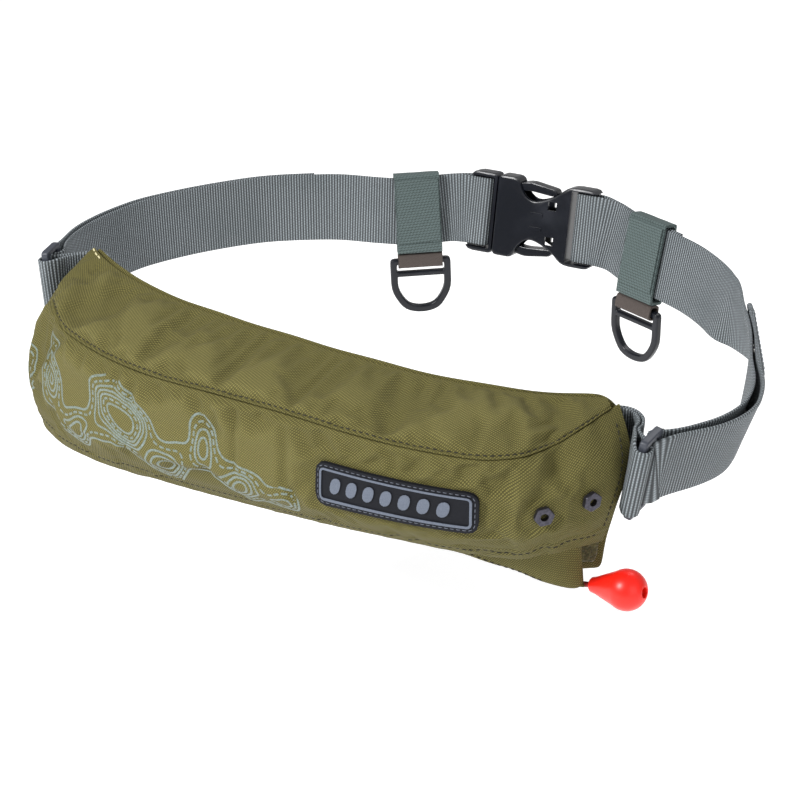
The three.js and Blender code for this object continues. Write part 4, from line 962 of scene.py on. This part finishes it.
def print_rows():
    """The printed lines as lists of (along, down) points; some levels are cut into dashes."""
    low_a, high_a, low_d, high_d = PRINT_BOX
    along = np.arange(low_a, high_a, PRINT_GRID)
    down = np.arange(low_d, high_d, PRINT_GRID)
    height = print_height(along[:, None], down[None, :])
    rows = []
    for level in PRINT_LEVELS:
        for line in level_lines(height, level):
            if len(line) < 8:
                continue
            line = evened(line * PRINT_GRID + (low_a, low_d))
            if level not in DASHED_LEVELS:
                rows.append(line)
                continue
            for start in range(0, len(line) - 3, DASH_STEP):
                rows.append(line[start:start + DASH_POINTS])
    return rows


def contour_print():
    """The rings as thin strips of film that lie on the front panel."""
    seam_drop = master_at(master_drop, master_shares, np.full(MASTER_ALONG + 1, SEAM_AT))
    points, faces = [], []
    for row in print_rows():
        shares = np.interp(row[:, 0], master_run, master_shares)
        columns = np.interp(shares, master_shares, np.arange(MASTER_ALONG + 1))
        places = np.array([
            np.interp(down + seam_drop[c], master_drop[c], master_places)
            for down, c in zip(row[:, 1], columns.astype(int))])
        fits = places < 1 - PRINT_HEM_GAP / HEM_SPAN
        if not fits.all():
            end = int(np.argmin(fits))
            if end < 4 and fits[-4:].all():
                start = len(fits) - int(np.argmin(fits[::-1]))
                shares, places = shares[start:], places[start:]
            else:
                shares, places = shares[:end], places[:end]
        if len(shares) < 4:
            continue
        line, normals = skin_row(shares, places, front_profile(shares, places) + PRINT_LIFT)
        along = unit(np.gradient(line, axis=0))
        across = np.cross(normals, along) * PRINT_WIDTH / 2
        first = len(points)
        for k in range(len(line)):
            points += [line[k] - across[k], line[k], line[k] + across[k]]
            under = line[k] - normals[k] * PRINT_DEPTH
            points += [under + across[k], under - across[k]]
        for k in range(len(line) - 1):
            for c in range(5):
                a, b = first + 5 * k + c, first + 5 * k + (c + 1) % 5
                faces.append((a, a + 5, b + 5, b))
        faces.append(tuple(first + c for c in range(5)))
        faces.append(tuple(first + 5 * (len(line) - 1) + c for c in reversed(range(5))))
    return make_piece(new_mesh("contour_print", points, faces), PRINT, smooth_shading=False)


film = contour_print()


# Copies of CAD solids that are cloth, rounded and finished
def joined_solid(node):
    """A node's mesh as a bmesh with its shared points joined."""
    made = bmesh.new()
    made.from_mesh(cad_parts[node].data)
    bmesh.ops.remove_doubles(made, verts=made.verts, dist=1e-6)
    return made


def soft_copy(name, node, material, levels, lay_of, shape=None, bevel=0.0):
    """A cloth piece from a node's solid: its edges rounded, its faces divided, then shaped by shape, which
    takes points in millimetres and normals, and gives points. lay_of gives each point's weave place."""
    mesh = bpy.data.meshes.new(name)
    source = joined_solid(node)
    bmesh.ops.join_triangles(
        source, faces=source.faces, angle_face_threshold=math.radians(25),
        angle_shape_threshold=math.radians(40))
    source.to_mesh(mesh)
    source.free()
    made = new_object(name, mesh)
    if bevel:
        rounding = made.modifiers.new("Round", "BEVEL")
        rounding.width, rounding.segments = bevel * MM, 2
        rounding.limit_method, rounding.angle_limit = "ANGLE", math.radians(50)
    if levels:
        divide = made.modifiers.new("Divide", "SUBSURF")
        divide.levels = divide.render_levels = levels
    final = bpy.data.meshes.new_from_object(made.evaluated_get(bpy.context.evaluated_depsgraph_get()))
    made.modifiers.clear()
    made.data = final
    final.name = name
    points = read_vectors(final.vertices, "co") / MM
    if shape:
        points = shape(points, read_vectors(final.vertices, "normal"))
        final.vertices.foreach_set("co", (points * MM).ravel())
    set_lay(final, lay_of(points))
    shade_smooth(final)
    final.materials.clear()
    final.materials.append(material)
    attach(made, BODY)
    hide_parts(node)
    return made


def upright_lay(points):
    """Weave coordinates of a panel that hangs along X: along, down, and 0, so it is made lighter nowhere."""
    return np.stack([points[:, 0] + points[:, 1] * 0.35, -points[:, 2], points[:, 0] * 0], -1)


def rumple(high, length, seed):
    """A shape that moves points along their normals by soft relief."""
    def shape(points, normals):
        moved = waves(points, length, 14, seed) * high
        return points + normals * moved[:, None]
    return shape


back_panel = soft_copy(
    "back_cloth", "back_panel", OLIVE, 2, upright_lay, rumple(0.25, 30, SEED + 3))
flap = soft_copy(
    "closure_cloth", "closure_flap", OLIVE, 1, upright_lay, rumple(0.22, 24, SEED + 4))
pile_strips = [
    soft_copy(f"pile_strip_{side}", f"closure_tape_{side}", PILE, 3, upright_lay,
              rumple(0.12, 2.2, SEED + 5))
    for side in ("front", "back")
]
bladder = soft_copy(
    "bladder_cloth", "folded_bladder", OLIVE, 1, upright_lay, rumple(0.6, 18, SEED + 6))


# Straps
def read_strap(node):
    """The sections of a strap's solid from one end to the other: centres, width vectors, thicknesses. It
    starts at an end face, which is long, thin and has a sharp long edge, and goes on ring by ring."""
    solid = joined_solid(node)
    cap = None
    for face in solid.faces:
        sizes = sorted(edge.calc_length() / MM for edge in face.edges)
        sharp = any(e.calc_length() / MM > 30 and e.calc_face_angle(0) > 1.0 for e in face.edges)
        if sizes[0] < 3.6 and sizes[1] > 30 and sharp:
            cap = face
            break
    mates = {f for e in cap.edges for f in e.link_faces if f.normal.dot(cap.normal) > 0.99}
    ring = {v for f in mates for v in f.verts}
    seen, rings = set(ring), [ring]
    while True:
        ring = {e.other_vert(v) for v in ring for e in v.link_edges} - seen
        if not ring:
            break
        seen |= ring
        rings.append(ring)
    centres, widths, thicks = [], [], []
    for ring in rings:
        corners = np.array([v.co for v in ring]) / MM
        near = np.argsort(np.linalg.norm(corners - corners[0], axis=1))
        one, two = corners[near[:2]], corners[near[2:]]
        width = one.mean(0) - two.mean(0)
        if widths and width @ widths[-1] < 0:
            width = -width
        centres.append(corners.mean(0))
        widths.append(width)
        thicks.append(np.linalg.norm(one[0] - one[1]))
    solid.free()
    return np.array(centres), np.array(widths), np.array(thicks)


def strap_stations(node):
    """Sections of a strap every step along it, on smooth curves through the solid's own."""
    centres, widths, thicks = read_strap(node)
    run = run_of(centres)
    even = np.linspace(0, run[-1], int(run[-1] / STRAP_STEP))
    at = np.interp(even, run, np.arange(len(run)))
    centre, width = resample(centres, at), resample(widths, at)
    thick = np.interp(at, np.arange(len(run)), thicks)
    along = unit(np.gradient(centre, axis=0))
    wide = np.linalg.norm(width, axis=-1)
    side = unit(width - along * (width * along).sum(-1, keepdims=True))
    return {"centre": centre, "side": side, "wide": wide, "thick": thick, "along": along,
            "out": unit(np.cross(along, side)), "run": run_of(centre)}


def strap(name, node, seed):
    """Webbing with rounded selvages and a little unevenness, from a strap's solid."""
    st = strap_stations(node)
    flat = np.linspace(-1, 1, 13)
    arc = np.linspace(-np.pi / 2, np.pi / 2, 7)[1:-1]
    phase = np.random.default_rng(seed).uniform(0, 6, 4)
    rows, lays = [], []
    for k in range(len(st["run"])):
        centre, side, out, run = (st[key][k] for key in ("centre", "side", "out", "run"))
        half, thin = st["wide"][k] / 2, st["thick"][k] / 2 * STRAP_THINNED
        core = half - thin
        edge = 0.12 * (math.sin(run / 9 + phase[0]) + math.sin(run / 23 + phase[1]))
        across = [(x * core, thin) for x in flat]
        across += [(core + thin * math.cos(a), -thin * math.sin(a)) for a in arc]
        across += [(x * core, -thin) for x in flat[::-1]]
        across += [(-core - thin * math.cos(a), thin * math.sin(a)) for a in arc]
        rows.append([centre + side * (x * (1 + edge / half * 0.2)) + out * y for x, y in across])
        lays.append([(run, x + y * 0.5, 0) for x, y in across])
    rows, lays = np.array(rows), np.array(lays)
    count, ring = rows.shape[:2]
    index = np.arange(count * ring).reshape(count, ring)
    after = np.roll(index, -1, axis=1)
    faces = np.stack([index[:-1], after[:-1], after[1:], index[1:]], -1).reshape(-1, 4).tolist()
    ends = [index[0, ::-1].tolist(), index[-1].tolist()]
    mesh = new_mesh(name, rows.reshape(-1, 3), faces + ends)
    turned = bmesh.new()
    turned.from_mesh(mesh)
    bmesh.ops.recalc_face_normals(turned, faces=turned.faces)
    turned.to_mesh(mesh)
    turned.free()
    made = make_piece(mesh, WEBBING, lays, sharp=60)
    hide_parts(node)
    return st


left = strap("left_webbing", "left_strap", SEED + 10)
right = strap("right_webbing", "right_strap", SEED + 11)
strap("pouch_webbing", "pack_strap", SEED + 12)


TACK_MARGIN = 2.5
TACK_POINTS = 12


def cross_rows(st, runs):
    """Rows of stitching across a strap at distances along it, on its outer and inner faces."""
    rows = []
    for run in runs:
        k = int(np.argmin(np.abs(st["run"] - run)))
        x = np.linspace(-1, 1, TACK_POINTS)[:, None] * (st["wide"][k] / 2 - TACK_MARGIN)
        for side in (1, -1):
            lift = st["thick"][k] / 2 + THREAD_LIFT
            line = st["centre"][k] + st["side"][k] * x + st["out"][k] * side * lift
            rows.append((line, np.tile(st["out"][k] * side, (TACK_POINTS, 1))))
    return rows


left_end, right_end = left["run"][-1], right["run"][-1]
tacks = cross_rows(left, [left_end - 3.0, left_end - 6.0])
tacks += cross_rows(right, [right_end - 2.2, right_end - 7.0])
rows_of_stitches("webbing_stitches", tacks, PALE_THREAD, length=1.8, gap=0.7, radius=0.25)


def belt_axes(st, node):
    """Along, up and out of the belt at a node, with its centre."""
    low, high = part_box(node)
    centre = np.array((low + high) / 2) / MM
    near = int(np.argmin(np.linalg.norm(st["centre"] - centre, axis=-1)))
    along, up = st["along"][near], st["side"][near]
    up = up if up[2] > 0 else -up
    return centre, along, up, unit(np.cross(along, up))


def belt_lay(axes):
    centre, along, up, out = axes

    def lay_of(points):
        local = points - centre
        return np.stack([local @ along, local @ up + (local @ out) * 0.9, local @ out], -1)
    return lay_of


for side_name, st in (("left", left), ("right", right)):
    lay_of = belt_lay(belt_axes(st, f"{side_name}_keeper"))
    loop = soft_copy(f"{side_name}_keeper_tape", f"{side_name}_keeper", KEEPER_TAPE, 2, lay_of,
                     rumple(0.07, 6, SEED + 20), 0.3)
    tab = soft_copy(f"{side_name}_tab_tape", f"{side_name}_ring_tab", RING_TAPE, 2, lay_of,
                    rumple(0.05, 5, SEED + 21), 0.2)


# The pouch's other stitches
def rows_on(made, starts, direction, lift):
    """A row of points where rays from starts first meet a piece, lifted off it."""
    mesh = made.data
    tree = BVHTree.FromPolygons([v.co for v in mesh.vertices], [p.vertices[:] for p in mesh.polygons])
    line, normals = [], []
    for start in starts:
        hit, normal, _, _ = tree.ray_cast(Vector(start) * MM, Vector(direction))
        if hit is not None:
            line.append(np.array(hit) / MM + np.array(normal) * lift)
            normals.append(np.array(normal))
    return np.array(line), np.array(normals)


# The flap's lower edge where it shows, as x and z, and how far above it the stitches run.
FLAP_EDGE = ((91, -50), (107, -51.8), (130, -59), (141, -63))
FLAP_STITCH = 4.5
edge_x = np.linspace(98, 141, 40)
edge_z = np.interp(edge_x, [x for x, _ in FLAP_EDGE], [z for _, z in FLAP_EDGE]) + FLAP_STITCH
flap_row = rows_on(flap, [(x, -300, z) for x, z in zip(edge_x, edge_z)], (0, 1, 0), THREAD_LIFT)
rows_of_stitches("flap_stitches", [flap_row], DARK_THREAD, radius=THICK_THREAD)
raw_edge = skin_row(np.linspace(-0.98, -0.9, 24), np.full(24, 0.03), 0.3)
rows_of_stitches(
    "raw_edge_stitches", [raw_edge], CREAM_THREAD, length=3.4, gap=1.6, radius=0.45)


# Badge
def badge_lay(points):
    """The badge's coordinates, with its relief above the plain face as the third."""
    plain = base.reshape(-1, 3)
    near = nearest(points, plain)
    lift = ((points - plain[near]) * base_normals.reshape(-1, 3)[near]).sum(-1)
    return np.stack([points[:, 0], points[:, 2], lift - BADGE_FACE], -1)


def nearest(points, cloud):
    """The index in cloud of the point nearest to each point."""
    tree = KDTree(len(cloud))
    for k, p in enumerate(cloud):
        tree.insert(p, k)
    tree.balance()
    return np.array([tree.find(p)[1] for p in points])


soft_copy("badge_plate", "badge", BADGE, 0, badge_lay, bevel=0.18)
BADGE_STITCH = 1.45


def badge_stitches():
    """A row of stitches round the badge, between its edge and its raised rim."""
    inset, corner = BADGE_STITCH, BADGE_CORNER - BADGE_STITCH
    a0, a1, b0, b1 = inset, BADGE_LENGTH - inset, inset, BADGE_HEIGHT - inset
    path = []
    for (x, y), start in (((a1 - corner, b0 + corner), -90), ((a1 - corner, b1 - corner), 0),
                          ((a0 + corner, b1 - corner), 90), ((a0 + corner, b0 + corner), 180)):
        for angle in np.radians(np.linspace(start, start + 90, 8)):
            path.append((x + corner * math.cos(angle), y + corner * math.sin(angle)))
    path.append(path[0])
    path = np.array(path)
    run = run_of(path)
    shares, places = badge_place(*value_at(path, run, np.linspace(0, run[-1], 260)).T)
    normals = unit(master_at(base_normals, shares, places))
    line = master_at(base, shares, places) + normals * (BADGE_FACE + 0.08)
    rows_of_stitches(
        "badge_stitches", [(line, normals)], GREY_THREAD, length=1.9, gap=0.9, radius=0.2)


badge_stitches()


# Hard parts keep their CAD solids, with softened edges and their own finish
def finish_solid(node, material, bevel=0.25, angle=34):
    """Rounds a kept solid's edges by bevel millimetres where they are sharper than angle, and gives it its
    material. It also changes the shading marks of the solid's own mesh, but not its points or faces."""
    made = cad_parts[node]
    mesh = made.data
    for name in ("custom_normal", "sharp_edge", "sharp_face"):
        if name in mesh.attributes:
            mesh.attributes.remove(mesh.attributes[name])
    shade_smooth(mesh)
    weld = made.modifiers.new("Weld", "WELD")
    weld.merge_threshold = 1e-6
    rounding = made.modifiers.new("Round", "BEVEL")
    rounding.width, rounding.segments = bevel * MM, 2
    rounding.limit_method, rounding.angle_limit = "ANGLE", math.radians(angle)
    rounding.harden_normals = False
    shading = made.modifiers.new("Shade", "WEIGHTED_NORMAL")
    shading.weight, shading.keep_sharp = 50, False
    mesh.materials.clear()
    mesh.materials.append(material)


for node in ("buckle_female", "buckle_male", "left_d_ring", "right_d_ring"):
    finish_solid(node, BLACK_PLASTIC)
for node in ("left_slider", "right_slider"):
    finish_solid(node, SLIDER_PLASTIC)
for node in ("hex_fastener_front", "hex_fastener_side"):
    finish_solid(node, METAL, 0.2)
finish_solid("pull_knob", RED, 0.15, 50)
finish_solid("pull_cord", CORD, 0.0, 80)


# Camera, floor and light
def add_camera():
    azimuth, elevation = math.radians(CAMERA_AZIMUTH), math.radians(CAMERA_ELEVATION)
    back = Vector((
        math.sin(azimuth) * math.cos(elevation),
        -math.cos(azimuth) * math.cos(elevation),
        math.sin(elevation),
    ))
    data = bpy.data.cameras.new("camera")
    data.lens, data.sensor_width = CAMERA_LENS, 36.0
    data.clip_start, data.clip_end = 0.05, 50.0
    camera = new_object("camera", data)
    camera.location = (Vector(CAMERA_TARGET) + back * CAMERA_DISTANCE) * MM
    camera.rotation_mode = "QUATERNION"
    camera.rotation_quaternion = (-back).to_track_quat("-Z", "Y")
    bpy.context.scene.camera = camera


def add_floor():
    corners = [(x * FLOOR_HALF, y * FLOOR_HALF, FLOOR_Z) for x, y in ((-1, -1), (1, -1), (1, 1), (-1, 1))]
    mesh = new_mesh("floor", corners, [(0, 1, 2, 3)])
    floor = new_object("floor", mesh)
    s = Shader("pale_floor", 0.9, Emission_Color=(1, 1, 1, 1), Emission_Strength=0.35)
    mesh.materials.append(s.finish(s.mix(s.noise(2.0), linear(250, 250, 250), linear(253, 253, 253))))


def add_light(name, place, power, size):
    data = bpy.data.lights.new(name, "AREA")
    data.energy, data.size = power, size
    light = new_object(name, data)
    light.location = Vector(place) * MM
    light.rotation_mode = "QUATERNION"
    light.rotation_quaternion = (Vector(LIGHTS_AIM) - Vector(place)).to_track_quat("-Z", "Y")


def add_world(strength):
    world = bpy.data.worlds.new("studio")
    world.use_nodes = True
    background = world.node_tree.nodes["Background"].inputs
    background["Color"].default_value = (1, 1, 1, 1)
    background["Strength"].default_value = strength
    bpy.context.scene.world = world


add_camera()
add_floor()
add_world(0.4)
add_light("key", (-380, -1200, 950), 27, 0.35)
add_light("fill", (1300, -600, 500), 5, 1.0)
add_light("rim", (200, 900, 1200), 8, 0.8)
bpy.context.scene.view_settings.view_transform = "Standard"
